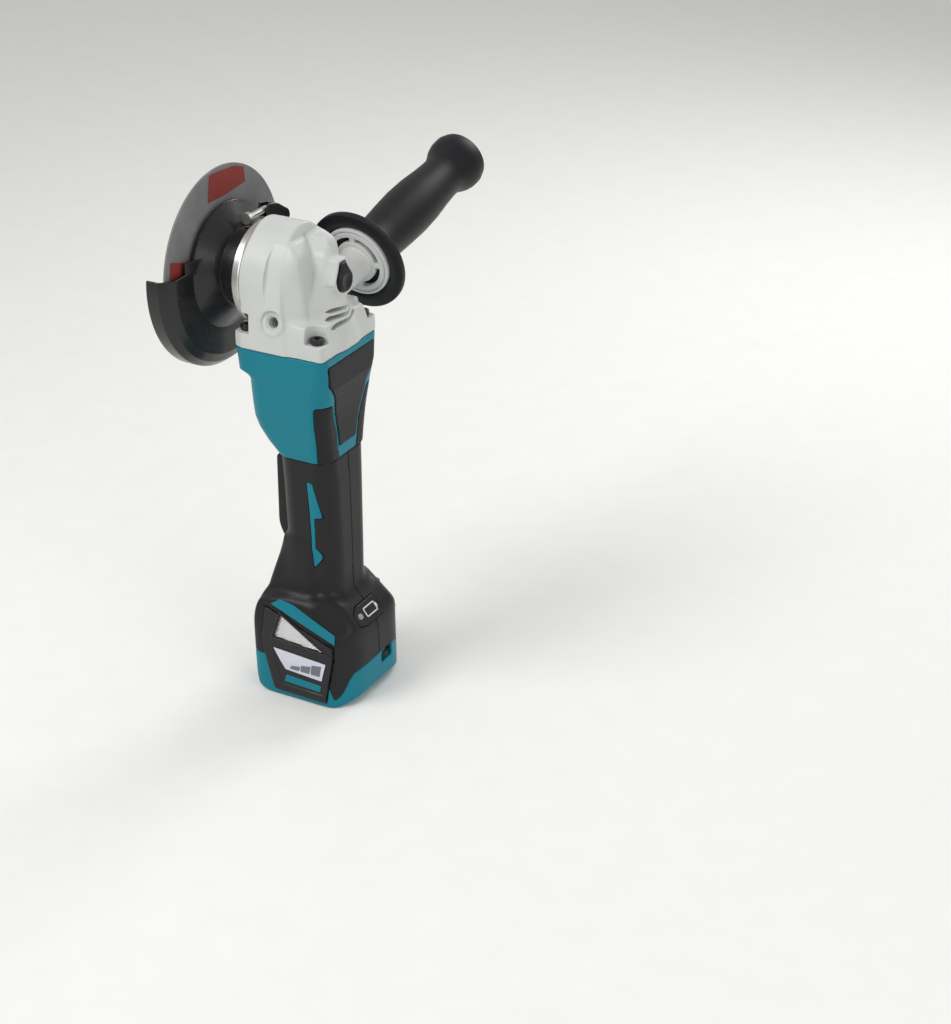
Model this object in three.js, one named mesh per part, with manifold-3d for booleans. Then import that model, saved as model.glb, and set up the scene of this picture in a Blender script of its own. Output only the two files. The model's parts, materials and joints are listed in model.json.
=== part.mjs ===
// Cordless angle grinder, 125 mm wheel, standing upright on its battery foot.
// Millimetres. +Z runs up the motor axis from the foot to the gear head, the wheel faces -X,
// and the side handle leaves the head on +Y. Each sub-part is one named mesh.

import * as THREE from 'three';
import { mergeVertices } from 'three/addons/utils/BufferGeometryUtils.js';
import Module from 'manifold-3d';

const wasm = await Module();
wasm.setup();

// ---------------------------------------------------------------- driving dimensions

const GAP = 0.3;                      // clearance between parts that rest on each other
const SPINDLE_Z = 280;                // height of the spindle axis, which runs along X
const WHEEL_R = 62.5;                 // 125 mm cutting wheel
const WHEEL_X = -59.4;                // middle plane of the wheel
const WHEEL_T = 1.6;
const BASE_Z = 241;                   // joint between motor housing and gear housing
const HOUSING_HALF = 33;              // half width of the square joint flange
const HANDLE_TOP_Z = 168;             // joint between motor housing and handle shells
const HANDLE = { x0: -12, x1: 28, half: 24 };
const FOOT_TOP_Z = 28;                // joint between handle shells and foot base
const FOOT = { x0: -26, half: 39.5 };
const SLOT = { half: 31, lip: 27, top: 15, end: 33 };    // battery slide channel, open at -X

const GEAR = { teeth: 35, pinionTeeth: 10, pitchR: 26, face: 0.28, addendum: 1.0, dedendum: 1.5 };
const CONE = GEAR.pitchR / Math.sin(Math.atan2(GEAR.teeth, GEAR.pinionTeeth));

const SIDE_AXIS = new THREE.Vector3(0.026, 0.973, 0.229).normalize();   // side handle, leans up 13 deg
const SIDE_FLANGE = new THREE.Vector3(-1.4, 65.4, 269.7);               // centre of its hand guard
const BOSS_T = -34.0;                 // housing face, measured along SIDE_AXIS from SIDE_FLANGE

const PADDLE_PIVOT = { x: -8, z: 159 };
const LOCK_Z = SPINDLE_Z + 12;        // shaft-lock pin, off the spindle axis
const BADGE = { x: 40, z: 57.6, tilt: 52 };   // battery gauge on the sloping shoulder of the foot

// ---------------------------------------------------------------- materials

const finish = (color, roughness, metalness) =>
  new THREE.MeshStandardMaterial({ color, roughness, metalness });
const TEAL = finish(0x00808f, 0.45, 0);
const BLACK = finish(0x2b2b2f, 0.55, 0);
const RUBBER = finish(0x252528, 0.85, 0);
const PAINT = finish(0xd9dcd8, 0.35, 0.2);
const ALUMINIUM = finish(0xb9bcbe, 0.35, 0.9);
const STEEL = finish(0x8d9094, 0.3, 1);
const BLACK_STEEL = finish(0x161618, 0.35, 0.7);
const GREY_PLASTIC = finish(0xb4b9be, 0.5, 0);
const ABRASIVE = finish(0x6d6a68, 0.9, 0);
const BOARD = finish(0x1f4a32, 0.6, 0);
const MESH = finish(0x9a9a98, 0.6, 0.4);

// ---------------------------------------------------------------- solids from three.js geometry

function solid(geometry) {
  const bare = geometry.index ? geometry.toNonIndexed() : geometry.clone();
  bare.deleteAttribute('normal');
  bare.deleteAttribute('uv');
  const merged = mergeVertices(bare, 1e-4);
  return new wasm.Manifold(new wasm.Mesh({
    numProp: 3,
    vertProperties: Float32Array.from(merged.attributes.position.array),
    triVerts: Uint32Array.from(merged.index.array),
  }));
}

const join = (...solids) => solids.reduce((sum, next) => sum.add(next));
const cut = (body, ...tools) => tools.reduce((left, tool) => left.subtract(tool), body);
const common = (...solids) => solids.reduce((sum, next) => sum.intersect(next));

function box(x0, x1, y0, y1, z0, z1) {
  const geometry = new THREE.BoxGeometry(x1 - x0, y1 - y0, z1 - z0);
  return solid(geometry.translate((x0 + x1) / 2, (y0 + y1) / 2, (z0 + z1) / 2));
}

// Maps a shape's own axes (u, v) and its extrusion onto the part: 'x' takes (y, z), 'y' takes (x, z).
const TURNED = {
  x: new THREE.Matrix4().makeBasis(
    new THREE.Vector3(0, 1, 0), new THREE.Vector3(0, 0, 1), new THREE.Vector3(1, 0, 0)),
  y: new THREE.Matrix4().makeBasis(
    new THREE.Vector3(1, 0, 0), new THREE.Vector3(0, 0, 1), new THREE.Vector3(0, -1, 0)),
  z: new THREE.Matrix4(),
};

// Closed outline with each corner rounded by its own radius: points are [u, v, radius].
function outline(points) {
  const shape = new THREE.Shape();
  points.forEach(([u, v, radius = 0], i) => {
    const corner = new THREE.Vector2(u, v);
    const before = new THREE.Vector2(...points.at(i - 1).slice(0, 2)).sub(corner);
    const after = new THREE.Vector2(...points[(i + 1) % points.length].slice(0, 2)).sub(corner);
    const reach = Math.min(radius, 0.48 * before.length(), 0.48 * after.length());
    const start = corner.clone().addScaledVector(before.normalize(), reach);
    const end = corner.clone().addScaledVector(after.normalize(), reach);
    if (i === 0) shape.moveTo(start.x, start.y);
    else shape.lineTo(start.x, start.y);
    if (reach > 0) shape.quadraticCurveTo(corner.x, corner.y, end.x, end.y);
  });
  shape.closePath();
  return shape;
}

// The same outline with every edge moved outwards, or inwards for a negative distance.
function grown(points, distance) {
  const turnSum = points.reduce((sum, [u, v], i) => {
    const [nextU, nextV] = points[(i + 1) % points.length];
    return sum + u * nextV - nextU * v;
  }, 0);
  const outward = Math.sign(turnSum) * distance;
  const edgeNormal = ([u0, v0], [u1, v1]) => new THREE.Vector2(v1 - v0, u0 - u1).normalize();
  return points.map((point, i) => {
    const a = edgeNormal(points.at(i - 1), point);
    const b = edgeNormal(point, points[(i + 1) % points.length]);
    const stretch = outward / (1 + a.dot(b));
    const corner = a.clone().add(b).multiplyScalar(stretch);
    return [point[0] + corner.x, point[1] + corner.y, point[2] ?? 0];
  });
}

function prism(axis, points, from, to, segments = 2) {
  const geometry = new THREE.ExtrudeGeometry(outline(points), {
    depth: to - from, bevelEnabled: false, curveSegments: segments,
  });
  geometry.applyMatrix4(TURNED[axis]);
  const shift = axis === 'y' ? to : from;
  const place = { x: [shift, 0, 0], y: [0, shift, 0], z: [0, 0, shift] }[axis];
  return solid(geometry.translate(...place));
}

const block = (x0, x1, half, radius) => [
  [x0, -half, radius], [x1, -half, radius], [x1, half, radius], [x0, half, radius],
];

// Solid of revolution about a line: profile points are [distance along, radius].
function turned(profile, origin, direction, sides) {
  const points = profile.map(([along, radius]) => new THREE.Vector2(radius, along));
  const geometry = new THREE.LatheGeometry(points, sides);
  const turn = new THREE.Quaternion().setFromUnitVectors(new THREE.Vector3(0, 1, 0), direction);
  const made = solid(geometry.applyQuaternion(turn).translate(origin.x, origin.y, origin.z));
  return made.volume() < 0 ? solid(flipped(geometry)) : made;
}

function flipped(geometry) {
  const turnedOut = geometry.toNonIndexed();
  const { array } = turnedOut.attributes.position;
  for (let i = 0; i < array.length; i += 9) {
    for (let k = 0; k < 3; k += 1) {
      [array[i + 3 + k], array[i + 6 + k]] = [array[i + 6 + k], array[i + 3 + k]];
    }
  }
  return turnedOut;
}

const X = new THREE.Vector3(1, 0, 0);
const Y = new THREE.Vector3(0, 1, 0);
const Z = new THREE.Vector3(0, 0, 1);
const HEAD = new THREE.Vector3(0, 0, SPINDLE_Z);
const FOOT_ORIGIN = new THREE.Vector3(0, 0, 0);

const rod = (origin, direction, radius, from, to, sides = 20) =>
  turned([[from, 0], [from, radius], [to, radius], [to, 0]], origin, direction, sides);
const tube = (origin, direction, inner, outer, from, to, sides = 24) =>
  turned([[from, inner], [from, outer], [to, outer], [to, inner], [from, inner]], origin, direction, sides);

// Round wire wound into an open helix.
class Helix extends THREE.Curve {
  constructor(radius, pitch, turns) {
    super();
    Object.assign(this, { radius, pitch, turns });
  }

  getPoint(t) {
    const angle = t * this.turns * 2 * Math.PI;
    return new THREE.Vector3(
      this.radius * Math.cos(angle), this.radius * Math.sin(angle), t * this.turns * this.pitch);
  }
}

function coil(origin, direction, radius, wire, pitch, turns) {
  const section = new THREE.Shape().absarc(0, 0, wire / 2, 0, 2 * Math.PI);
  const geometry = new THREE.ExtrudeGeometry(section, {
    steps: Math.round(turns * 8), curveSegments: 2, extrudePath: new Helix(radius, pitch, turns),
  });
  const turn = new THREE.Quaternion().setFromUnitVectors(Z, direction);
  return solid(geometry.applyQuaternion(turn).translate(origin.x, origin.y, origin.z));
}

// ---------------------------------------------------------------- the assembly

const grinder = new THREE.Group();

function add(name, body, material) {
  const { vertProperties, triVerts } = body.getMesh();
  const geometry = new THREE.BufferGeometry();
  geometry.setAttribute('position', new THREE.Float32BufferAttribute(vertProperties, 3));
  geometry.setIndex([...triVerts]);
  geometry.computeVertexNormals();
  const mesh = new THREE.Mesh(geometry, material);
  mesh.name = name;
  grinder.add(mesh);
}

// Corner screws of the gear housing, which run down into the motor housing.
const CORNERS = [[25.5, -26], [25.5, 26], [-25.5, 26], [-25.5, -26]];
const CORNER_SCREW = { end: 228, shankR: 2.1, seat: 251, headR: 4, top: 254.6 };

// Screws that hold the bearing box against the gear housing.
const BOX_ANGLES = [45, 135, 225, 315];
const BOX_SCREW = { ringR: 27.2, end: -20, shankR: 1.6, seat: -30.2, headR: 2.8, top: -32.3 };

// Point round the spindle axis, the angle counted from +Y towards +Z.
function onHead(radius, degrees) {
  const turn = THREE.MathUtils.degToRad(degrees);
  return new THREE.Vector3(0, radius * Math.cos(turn), SPINDLE_Z + radius * Math.sin(turn));
}

function sidePoint(distance, mirrored = false) {
  const point = SIDE_FLANGE.clone().addScaledVector(SIDE_AXIS, distance);
  if (mirrored) point.y *= -1;
  return point;
}

const MIRROR_AXIS = new THREE.Vector3(SIDE_AXIS.x, -SIDE_AXIS.y, SIDE_AXIS.z);
const SOCKET = { holeR: 4.2, depth: 15, bossR: 10 };

function handleBoss(mirrored) {
  const axis = mirrored ? MIRROR_AXIS : SIDE_AXIS;
  return rod(sidePoint(0, mirrored), axis, SOCKET.bossR, BOSS_T - 13, BOSS_T, 18);
}

// Threaded hole for the side handle, with the flat face that the handle seats on.
function handleSocket(mirrored) {
  const axis = mirrored ? MIRROR_AXIS : SIDE_AXIS;
  const hole = rod(sidePoint(0, mirrored), axis, SOCKET.holeR, BOSS_T - SOCKET.depth, BOSS_T + 1, 16);
  return join(hole, rod(sidePoint(0, mirrored), axis, SOCKET.bossR + 1.5, BOSS_T, BOSS_T + 12, 20));
}

// Cast head: square base flange, round nose towards the wheel, ridged back over the bevel gears.
function gearHousing() {
  const base = common(
    prism('z', block(-HOUSING_HALF, HOUSING_HALF, HOUSING_HALF, 14), BASE_Z + GAP, 262),
    prism('y', [[-34, BASE_Z], [34, BASE_Z], [34, 254], [27, 262], [-27, 262], [-34, 252]], -34, 34),
    prism('x', [[-34, BASE_Z], [34, BASE_Z], [34, 254], [28, 262], [-28, 262], [-34, 254]], -34, 34),
  );
  const arch = [[-33, 244, 0], [33, 244, 0], [33, 270, 8], [30.5, 293, 10], [20, 309, 12],
    [0, 318.3, 16], [-20, 309, 12], [-30.5, 293, 10], [-33, 270, 8]];
  const roof = [[-26, 244, 0], [5, 244, 0], [5, 317, 4], [-10, 316.5, 6], [-26, 312, 0]];
  const barrel = common(prism('x', arch, -26, 5), prism('y', roof, -34, 34));
  const back = [[-20, 250, 0], [32.5, 250, 2], [32, 264, 4], [29.5, 272, 4], [30, 285, 6], [26, 298, 6],
    [20, 309, 6], [12, 317, 6], [-12, 316.5, 0]];
  const rib = [[-30, 250, 0], [30, 250, 0], [29, 262, 3], [19, 277, 8], [17, 292, 4], [14.5, 310, 6],
    [8, 318, 6], [-8, 318, 6], [-14.5, 310, 6], [-17, 292, 4], [-19, 277, 8], [-29, 262, 3]];
  const dome = common(prism('y', back, -34, 34), prism('x', rib, -20, 34));
  const nose = rod(HEAD, X, 32.5, -26, -8, 28);
  const outer = join(base, barrel, dome, common(nose, box(-27, 0, -34, 34, 244, 320)),
    handleBoss(false), handleBoss(true));

  const boxSeat = rod(HEAD, X, 33.2, -45, -26, 28);
  const gearRoom = rod(HEAD, X, 28.6, -27, -3.5, 24);
  const pinionRoom = rod(FOOT_ORIGIN, Z, 11, 240, 266, 16);
  const rotorSeat = rod(FOOT_ORIGIN, Z, 13.5, 240, 250.6, 20);
  const airRoom = box(13.5, 27, -17, 17, 240, 270);
  const needleSeat = rod(HEAD, X, 8.5, -4, 12.3, 16);
  const lockBore = join(rod(new THREE.Vector3(0, 0, LOCK_Z), X, 2.8, -4, 40, 12),
    rod(new THREE.Vector3(0, 0, LOCK_Z), X, 4.9, 14, 30, 12));
  const lockPocket = box(22.7, 40, -8.5, 8.5, 275.5, 297.5);
  const vents = [268.5, 261.5].map((z, i) => box(20, 40, -17 + 4 * i, 12 + 4 * i, z - 1.8, z + 1.8));
  const pockets = CORNERS.map(([x, y]) =>
    rod(new THREE.Vector3(x, y, 0), Z, 6.2, CORNER_SCREW.seat - GAP, 300, 12));
  const screwHoles = CORNERS.map(([x, y]) =>
    rod(new THREE.Vector3(x, y, 0), Z, CORNER_SCREW.shankR + 0.35, 240, 260, 8));
  const boxHoles = BOX_ANGLES.map((angle) => boxScrewBore(angle, -27, BOX_SCREW.end + 1));
  return cut(outer, boxSeat, gearRoom, pinionRoom, rotorSeat, airRoom, needleSeat, lockBore, lockPocket,
    ...vents, ...pockets, ...screwHoles, ...boxHoles, handleSocket(false), handleSocket(true));
}

const boxScrewBore = (degrees, from, to) =>
  rod(onHead(BOX_SCREW.ringR, degrees), X, BOX_SCREW.shankR + 0.3, from, to, 8);

// Bright ring that closes the head, with the neck that the guard clamps onto.
function bearingBox() {
  const body = turned([[-26.3, 17.5], [-26.3, 32.5], [-31.9, 31.5], [-31.9, 23], [-44, 23],
    [-44, 10.5], [-41, 10.5], [-41, 16.4], [-29.5, 16.4], [-29.5, 17.5], [-26.3, 17.5]], HEAD, X, 28);
  const sinks = BOX_ANGLES.map((angle) =>
    rod(onHead(BOX_SCREW.ringR, angle), X, 3.2, -40, BOX_SCREW.seat + GAP, 12));
  return cut(body, ...sinks, ...BOX_ANGLES.map((angle) => boxScrewBore(angle, -35, -25)));
}

// Cap screw along an axis: shank tip, seat and top of the head are places on that axis.
function screw(origin, direction, { end, shankR, seat, headR, top }) {
  const body = turned([[end, 0], [end, shankR], [seat, shankR], [seat, headR], [top, headR], [top, 0]],
    origin, direction, 10);
  const up = Math.sign(top - seat);
  return cut(body, rod(origin, direction, headR * 0.5, top - 1.6 * up, top + up, 6));
}

function addHousingScrews() {
  CORNERS.forEach(([x, y], i) => {
    add(`gear_housing_screw_${i + 1}`, screw(new THREE.Vector3(x, y, 0), Z, CORNER_SCREW), BLACK_STEEL);
  });
  BOX_ANGLES.forEach((angle, i) => {
    add(`bearing_box_screw_${i + 1}`, screw(onHead(BOX_SCREW.ringR, angle), X, BOX_SCREW), BLACK_STEEL);
  });
}

// ---------------------------------------------------------------- bevel gears and spindle

// One tapered tooth: a box whose corners are placed on two cone distances and two cone angles.
function tooth(pitchAngle, halfPitch, halfRoot, halfTip) {
  const rise = Math.atan(GEAR.addendum / CONE);
  const drop = Math.atan((GEAR.dedendum + 0.4) / CONE);
  const geometry = new THREE.BoxGeometry(2, 2, 2);
  const { position } = geometry.attributes;
  for (let i = 0; i < position.count; i += 1) {
    const distance = position.getX(i) > 0 ? CONE : CONE * (1 - GEAR.face);
    const tip = position.getY(i) > 0;
    const angle = pitchAngle + (tip ? rise : -drop);
    const turn = Math.sign(position.getZ(i)) * (tip ? halfTip : halfRoot) * halfPitch;
    const radius = distance * Math.sin(angle);
    position.setXYZ(i, radius * Math.cos(turn), radius * Math.sin(turn), -distance * Math.cos(angle));
  }
  const made = solid(geometry);
  return made.volume() < 0 ? solid(flipped(geometry)) : made;
}

// Wheel blank and teeth about a local Z axis, apex at the origin, opening downwards.
function bevelWheel(teeth, others, profile, halfRoot, halfTip, sides) {
  const pitchAngle = Math.atan2(teeth, others);
  const blank = turned(profile, FOOT_ORIGIN, Z, sides).rotate([0, 0, 90 - 180 / sides]);
  const one = tooth(pitchAngle, Math.PI / teeth / 2, halfRoot, halfTip);
  const ring = Array.from({ length: teeth }, (_, i) => one.rotate([0, 0, i * 360 / teeth]));
  return join(blank, ...ring);
}

function bevelGear() {
  const root = Math.atan2(GEAR.teeth, GEAR.pinionTeeth) - Math.atan(GEAR.dedendum / CONE);
  const face = (distance) => [-distance * Math.cos(root), distance * Math.sin(root)];
  const [backA, rimR] = face(CONE);
  const [webA, webR] = face(CONE * (1 - GEAR.face));
  const wheel = bevelWheel(GEAR.teeth, GEAR.pinionTeeth,
    [[-17, 6.3], [-17, 17], [backA, rimR], [webA, webR], [-7.6, 6.3], [-17, 6.3]],
    1.28, 0.5, 35);
  // the wheel's local -Z becomes -X, and its first tooth points along +Z
  const placed = wheel.rotate([0, 90, 0]).rotate([180, 0, 0]).translate([0, 0, SPINDLE_Z]);
  const lockHole = (degrees) => rod(onHead(LOCK_Z - SPINDLE_Z, degrees), X, 3.2, -20, 0, 8);
  return cut(placed, ...[0, 90, 180, 270].map(lockHole));
}

function bevelPinion() {
  const root = Math.atan2(GEAR.pinionTeeth, GEAR.teeth) - Math.atan(GEAR.dedendum / CONE);
  const face = (distance) => [-distance * Math.cos(root), distance * Math.sin(root)];
  const [lowA, lowR] = face(CONE);
  const [topA, topR] = face(CONE * (1 - GEAR.face));
  return bevelWheel(GEAR.pinionTeeth, GEAR.teeth,
    [[lowA - 2.5, 3.3], [lowA - 2.5, 6], [lowA, lowR], [topA, topR], [topA, 3.3], [lowA - 2.5, 3.3]],
    1.25, 0.42, 10).translate([0, 0, SPINDLE_Z]);
}

function addSpindle() {
  const noseX = -68;
  add('spindle', turned([[noseX, 0], [noseX, 6.3], [noseX + 0.7, 7], [-49, 7], [-49, 8.6], [-41.5, 8.6],
    [-41.5, 6], [11.8, 6], [11.8, 0]], HEAD, X, 20), STEEL);
  add('bevel_gear', bevelGear(), STEEL);
  add('spindle_ball_bearing', cut(tube(HEAD, X, 6.3, 16, -40.7, -30.2, 20),
    tube(HEAD, X, 9.5, 12.6, -42, -39.7, 16)), STEEL);
  add('spindle_needle_bearing', tube(HEAD, X, 6.4, 8, 0.5, 11.6, 16), STEEL);
  add('inner_flange', turned([[-50.5, 7.3], [-50.5, 14], [-54.5, 21], [-58.3, 21], [-58.3, 11], [-60, 11],
    [-60, 7.3], [-50.5, 7.3]], HEAD, X, 20), BLACK_STEEL);
  const half = WHEEL_T / 2;
  add('cutting_disc', tube(HEAD, X, 11.3, WHEEL_R, WHEEL_X - half, WHEEL_X + half, 40), ABRASIVE);
  const nut = turned([[-60.5, 7.3], [-60.5, 17], [-63, 17], [-66.5, 14.5], [-66.5, 7.3], [-60.5, 7.3]],
    HEAD, X, 20);
  const pinHoles = [0, 90, 180, 270].map((angle) => rod(onHead(11, angle), X, 1.9, -68, -64, 8));
  add('lock_nut', cut(nut, ...pinHoles), BLACK_STEEL);
}

function addShaftLock() {
  const button = prism('x', [[-8, 279, 5], [0, 276, 4], [8, 279, 5], [7, 288, 6], [0, 297, 4], [-7, 288, 6]],
    26.5, 32.4, 4);
  add('shaft_lock_button', cut(button, rod(new THREE.Vector3(0, 0, LOCK_Z), X, 2.7, 20, 28.5, 12)), BLACK);
  add('shaft_lock_pin', rod(new THREE.Vector3(0, 0, LOCK_Z), X, 2.4, -6.4, 28.2, 12), STEEL);
  add('shaft_lock_spring', coil(new THREE.Vector3(14.8, 0, LOCK_Z), X, 3.8, 0.9, 1.6, 4), STEEL);
}

// ---------------------------------------------------------------- wheel guard

const GUARD = { plateX: -54, outerR: 66.3, wall: 1.5, edgeX: -70.4, cutZ: SPINDLE_Z + 8.5, hubR: 40 };
const COLLAR = { inner: 23.3, outer: 25.6, from: -45.6, to: -33.2 };
const BAND = { inner: 25.9, outer: 28.6, from: -43, to: -34.2 };

// Dished plate that runs from the collar out towards the wheel, and the skirt round its lower half.
function wheelGuard() {
  const { plateX, outerR, wall, edgeX, cutZ, hubR } = GUARD;
  const inner = plateX - wall;
  const hub = turned([[COLLAR.to, COLLAR.inner], [COLLAR.to, COLLAR.outer], [-44.6, COLLAR.outer],
    [plateX + 1, hubR - 1], [plateX, hubR], [inner, hubR], [inner + 0.5, hubR - 2], [COLLAR.from, COLLAR.inner],
    [COLLAR.to, COLLAR.inner]], HEAD, X, 36);
  const shell = turned([[plateX, hubR - 0.5], [plateX, 57], [plateX - 2.4, 62.5], [plateX - 7, outerR],
    [edgeX, outerR], [edgeX, outerR - wall], [plateX - 7, outerR - wall], [plateX - 3.6, 61.7], [inner, 56.6],
    [inner, hubR - 0.5], [plateX, hubR - 0.5]], HEAD, X, 48);
  return join(hub, common(shell, box(-80, 0, -80, 80, 180, cutZ)));
}

const LEVER = { pivotY: 17, pivotZ: SPINDLE_Z + 33 };

// Steel strap round the guard's collar, split at the top between two ears.
function guardBand() {
  const strap = tube(HEAD, X, BAND.inner, BAND.outer, BAND.from, BAND.to, 28);
  const ears = [[1, 4.2], [8.5, 11.7]].map(([y0, y1]) => box(BAND.from, BAND.to, y0, y1, SPINDLE_Z + 24.5,
    SPINDLE_Z + 37));
  const split = box(BAND.from - 1, BAND.to + 1, 4.2, 8.5, SPINDLE_Z + 20, SPINDLE_Z + 40);
  const bolt = rod(new THREE.Vector3(-38.6, 0, SPINDLE_Z + 33), Y, 2.4, 0, 20, 14);
  const bore = tube(HEAD, X, 10, BAND.inner, BAND.from - 1, BAND.to + 1, 28);
  return cut(join(strap, ...ears), split, bolt, bore);
}

function addGuard() {
  add('wheel_guard', wheelGuard(), BLACK_STEEL);
  add('guard_clamp_band', guardBand(), BLACK_STEEL);
  const boltAt = new THREE.Vector3(-38.6, 0, SPINDLE_Z + 33);
  add('guard_clamp_bolt', turned([[-2.6, 0], [-2.6, 3.8], [0.6, 3.8], [0.6, 2.1], [19, 2.1], [19, 0]],
    boltAt, Y, 10), STEEL);
  const { pivotY, pivotZ } = LEVER;
  const arm = prism('x', [[pivotY, pivotZ - 4], [36, 300, 3], [41, 301, 2], [40, 306.5, 2], [27, 315, 4],
    [pivotY, pivotZ + 4]], -42.4, -34.8);
  const head = rod(new THREE.Vector3(0, pivotY, pivotZ), X, 4, -42.4, -34.8, 12);
  const fork = box(-41.1, -36.1, pivotY - 6, pivotY + 6, pivotZ - 8, pivotZ + 8);
  add('guard_clamp_lever', cut(join(arm, head), fork), BLACK_STEEL);
}

// ---------------------------------------------------------------- motor

const MOTOR = { bearingZ: 179, stackFrom: 192.4, stackTo: 216, fanFrom: 219.5, fanTo: 231, roomR: 22.5 };

function addMotor() {
  const { bearingZ, stackFrom, stackTo, fanFrom, fanTo } = MOTOR;
  add('rotor_shaft', turned([[bearingZ - 0.8, 0], [bearingZ - 0.8, 3], [bearingZ + 8, 3], [bearingZ + 8, 4],
    [250.2, 4], [250.2, 3], [263.4, 3], [263.4, 0]], FOOT_ORIGIN, Z, 14), STEEL);
  add('rotor_magnet', tube(FOOT_ORIGIN, Z, 4.4, 12.4, stackFrom + 1, stackTo - 1, 20), STEEL);
  add('rotor_rear_bearing', tube(FOOT_ORIGIN, Z, 3.4, 9.5, bearingZ, bearingZ + 7, 16), STEEL);
  add('rotor_front_bearing', tube(FOOT_ORIGIN, Z, 4.4, 13, 243, 250, 20), STEEL);
  add('bevel_pinion', bevelPinion(), STEEL);

  const hub = tube(FOOT_ORIGIN, Z, 4.4, 9, fanFrom, fanTo, 18);
  const plate = tube(FOOT_ORIGIN, Z, 8, 20.5, fanFrom, fanFrom + 1.8, 27);
  const blades = Array.from({ length: 9 }, (_, i) =>
    box(8, 20, -0.8, 0.8, fanFrom + 0.5, fanTo - 1).rotate([0, 0, i * 40]));
  add('cooling_fan', join(hub, plate, ...blades), BLACK);

  const ring = tube(FOOT_ORIGIN, Z, 18, 22, stackFrom, stackTo, 24);
  const pole = join(box(14, 19, -2.6, 2.6, stackFrom, stackTo), tubeSector(13.2, 15, 44, stackFrom, stackTo));
  const poles = Array.from({ length: 6 }, (_, i) => pole.rotate([0, 0, i * 60]));
  add('stator_core', join(ring, ...poles), STEEL);
}

// Arc-shaped block about Z, centred on +X.
function tubeSector(inner, outer, degrees, from, to) {
  const half = THREE.MathUtils.degToRad(degrees / 2);
  const shape = new THREE.Shape();
  shape.absarc(0, 0, outer, -half, half, false);
  shape.absarc(0, 0, inner, half, -half, true);
  shape.closePath();
  const geometry = new THREE.ExtrudeGeometry(shape, {
    depth: to - from, bevelEnabled: false, curveSegments: 2,
  });
  return solid(geometry.translate(0, 0, from));
}

// ---------------------------------------------------------------- motor housing and soft grip

const GRIP = { from: 170, to: 236, half: 27, wallR: 25.4 };

// Square flange at the top, with the slimmer barrel of the motor stepped in below it.
function bodyEnvelope() {
  const flange = prism('z', block(-33, 33, 33, 14), 221, BASE_Z);
  const barrel = prism('z', block(-26.5, 32, 32, 14), HANDLE_TOP_Z, 223);
  const side = [[-33, BASE_Z, 0], [-31.5, 224, 2], [-26.5, 221, 2], [-26.5, 196, 10], [-12, HANDLE_TOP_Z, 0],
    [HANDLE.x1, HANDLE_TOP_Z, 0], [HANDLE.x1, 205, 10], [31.5, 224, 8], [33, BASE_Z, 0]];
  const front = [[-33, BASE_Z, 0], [-31.5, 224, 10], [-28, 205, 10], [-26, HANDLE_TOP_Z, 0],
    [26, HANDLE_TOP_Z, 0], [28, 205, 10], [31.5, 224, 10], [33, BASE_Z, 0]];
  return common(prism('y', side, -34, 34), prism('x', front, -34, 34), join(flange, barrel));
}

function gripRegion(slack) {
  const pad = prism('y', [[16 - slack, GRIP.from - slack], [40, GRIP.from - slack], [40, GRIP.to + slack],
    [22 - slack, GRIP.to + slack, 2], [22 - slack, 214, 3], [16 - slack, 204, 3]],
  -GRIP.half - slack, GRIP.half + slack);
  const columns = CORNERS.map(([x, y]) =>
    rod(new THREE.Vector3(x, y, 0), Z, 3.6 - slack, CORNER_SCREW.end - 1.5 + slack, 250, 8));
  return cut(pad, rod(FOOT_ORIGIN, Z, GRIP.wallR + GAP - slack, 150, 250, 24), ...columns);
}

function addMotorHousing() {
  const room = rod(FOOT_ORIGIN, Z, MOTOR.roomR, MOTOR.stackFrom - 0.4, 250, 24);
  const bearingSeat = rod(FOOT_ORIGIN, Z, 10, MOTOR.bearingZ - 1, MOTOR.stackFrom, 16);
  const wireWay = rod(FOOT_ORIGIN, Z, 7, 160, 190, 12);
  const holes = CORNERS.map(([x, y]) =>
    rod(new THREE.Vector3(x, y, 0), Z, CORNER_SCREW.shankR + 0.35, CORNER_SCREW.end - 1, 250, 8));
  add('motor_housing', cut(bodyEnvelope(), gripRegion(GAP), room, bearingSeat, wireWay, ...holes), TEAL);
  add('soft_grip', common(bodyEnvelope(), gripRegion(0)), RUBBER);
}

// ---------------------------------------------------------------- handle shells

const SPLIT = 0.15;                   // half of the gap at the joint of the two shells
const TRIM = { from: 92, to: 153, backY: -21.3 };   // coloured wedge let into the near side of the handle

// Plan of the foot: square at the battery's mouth, drawn in towards the rounded +X end.
const FOOT_PLAN = [[-30.6, -39.4, 12], [29, -39.4, 4], [37, -35.4, 4], [45.4, -22, 8], [46.7, 0, 0], [45.4, 22, 8],
  [37, 35.4, 4], [29, 39.4, 4], [-30.6, 39.4, 12]];

// Slim neck that flares on the -X side into a foot with sloping shoulders.
function handleEnvelope() {
  const top = HANDLE_TOP_Z - GAP;
  const bottom = FOOT_TOP_Z + GAP;
  const neck = prism('z', block(HANDLE.x0, HANDLE.x1, HANDLE.half, 13), 50, top);
  const side = [[-26.5, bottom, 0], [-29.5, 42, 5], [-30, 52, 5], [-25, 68, 6], [-20, 84, 6], [-13, 104, 4],
    [-8, 104, 2], [0, 82, 3], [15, 76, 4], [28, 70.5, 4], [37, 62.5, 4], [43, 55, 4], [46, 46, 4],
    [46.5, 38, 4], [45.5, bottom, 0]];
  const front = [[-41, bottom, 0], [-41, 70, 4], [-38, 77, 4], [-31, 84, 4], [-25, 92, 6], [-22, 106, 0],
    [22, 106, 0], [25, 92, 6], [31, 84, 4], [38, 77, 4], [41, 70, 4], [41, bottom, 0]];
  return join(neck, common(prism('y', side, -42, 42), prism('x', front, -34, 48),
    prism('z', FOOT_PLAN, FOOT_TOP_Z, 110)));
}

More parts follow.
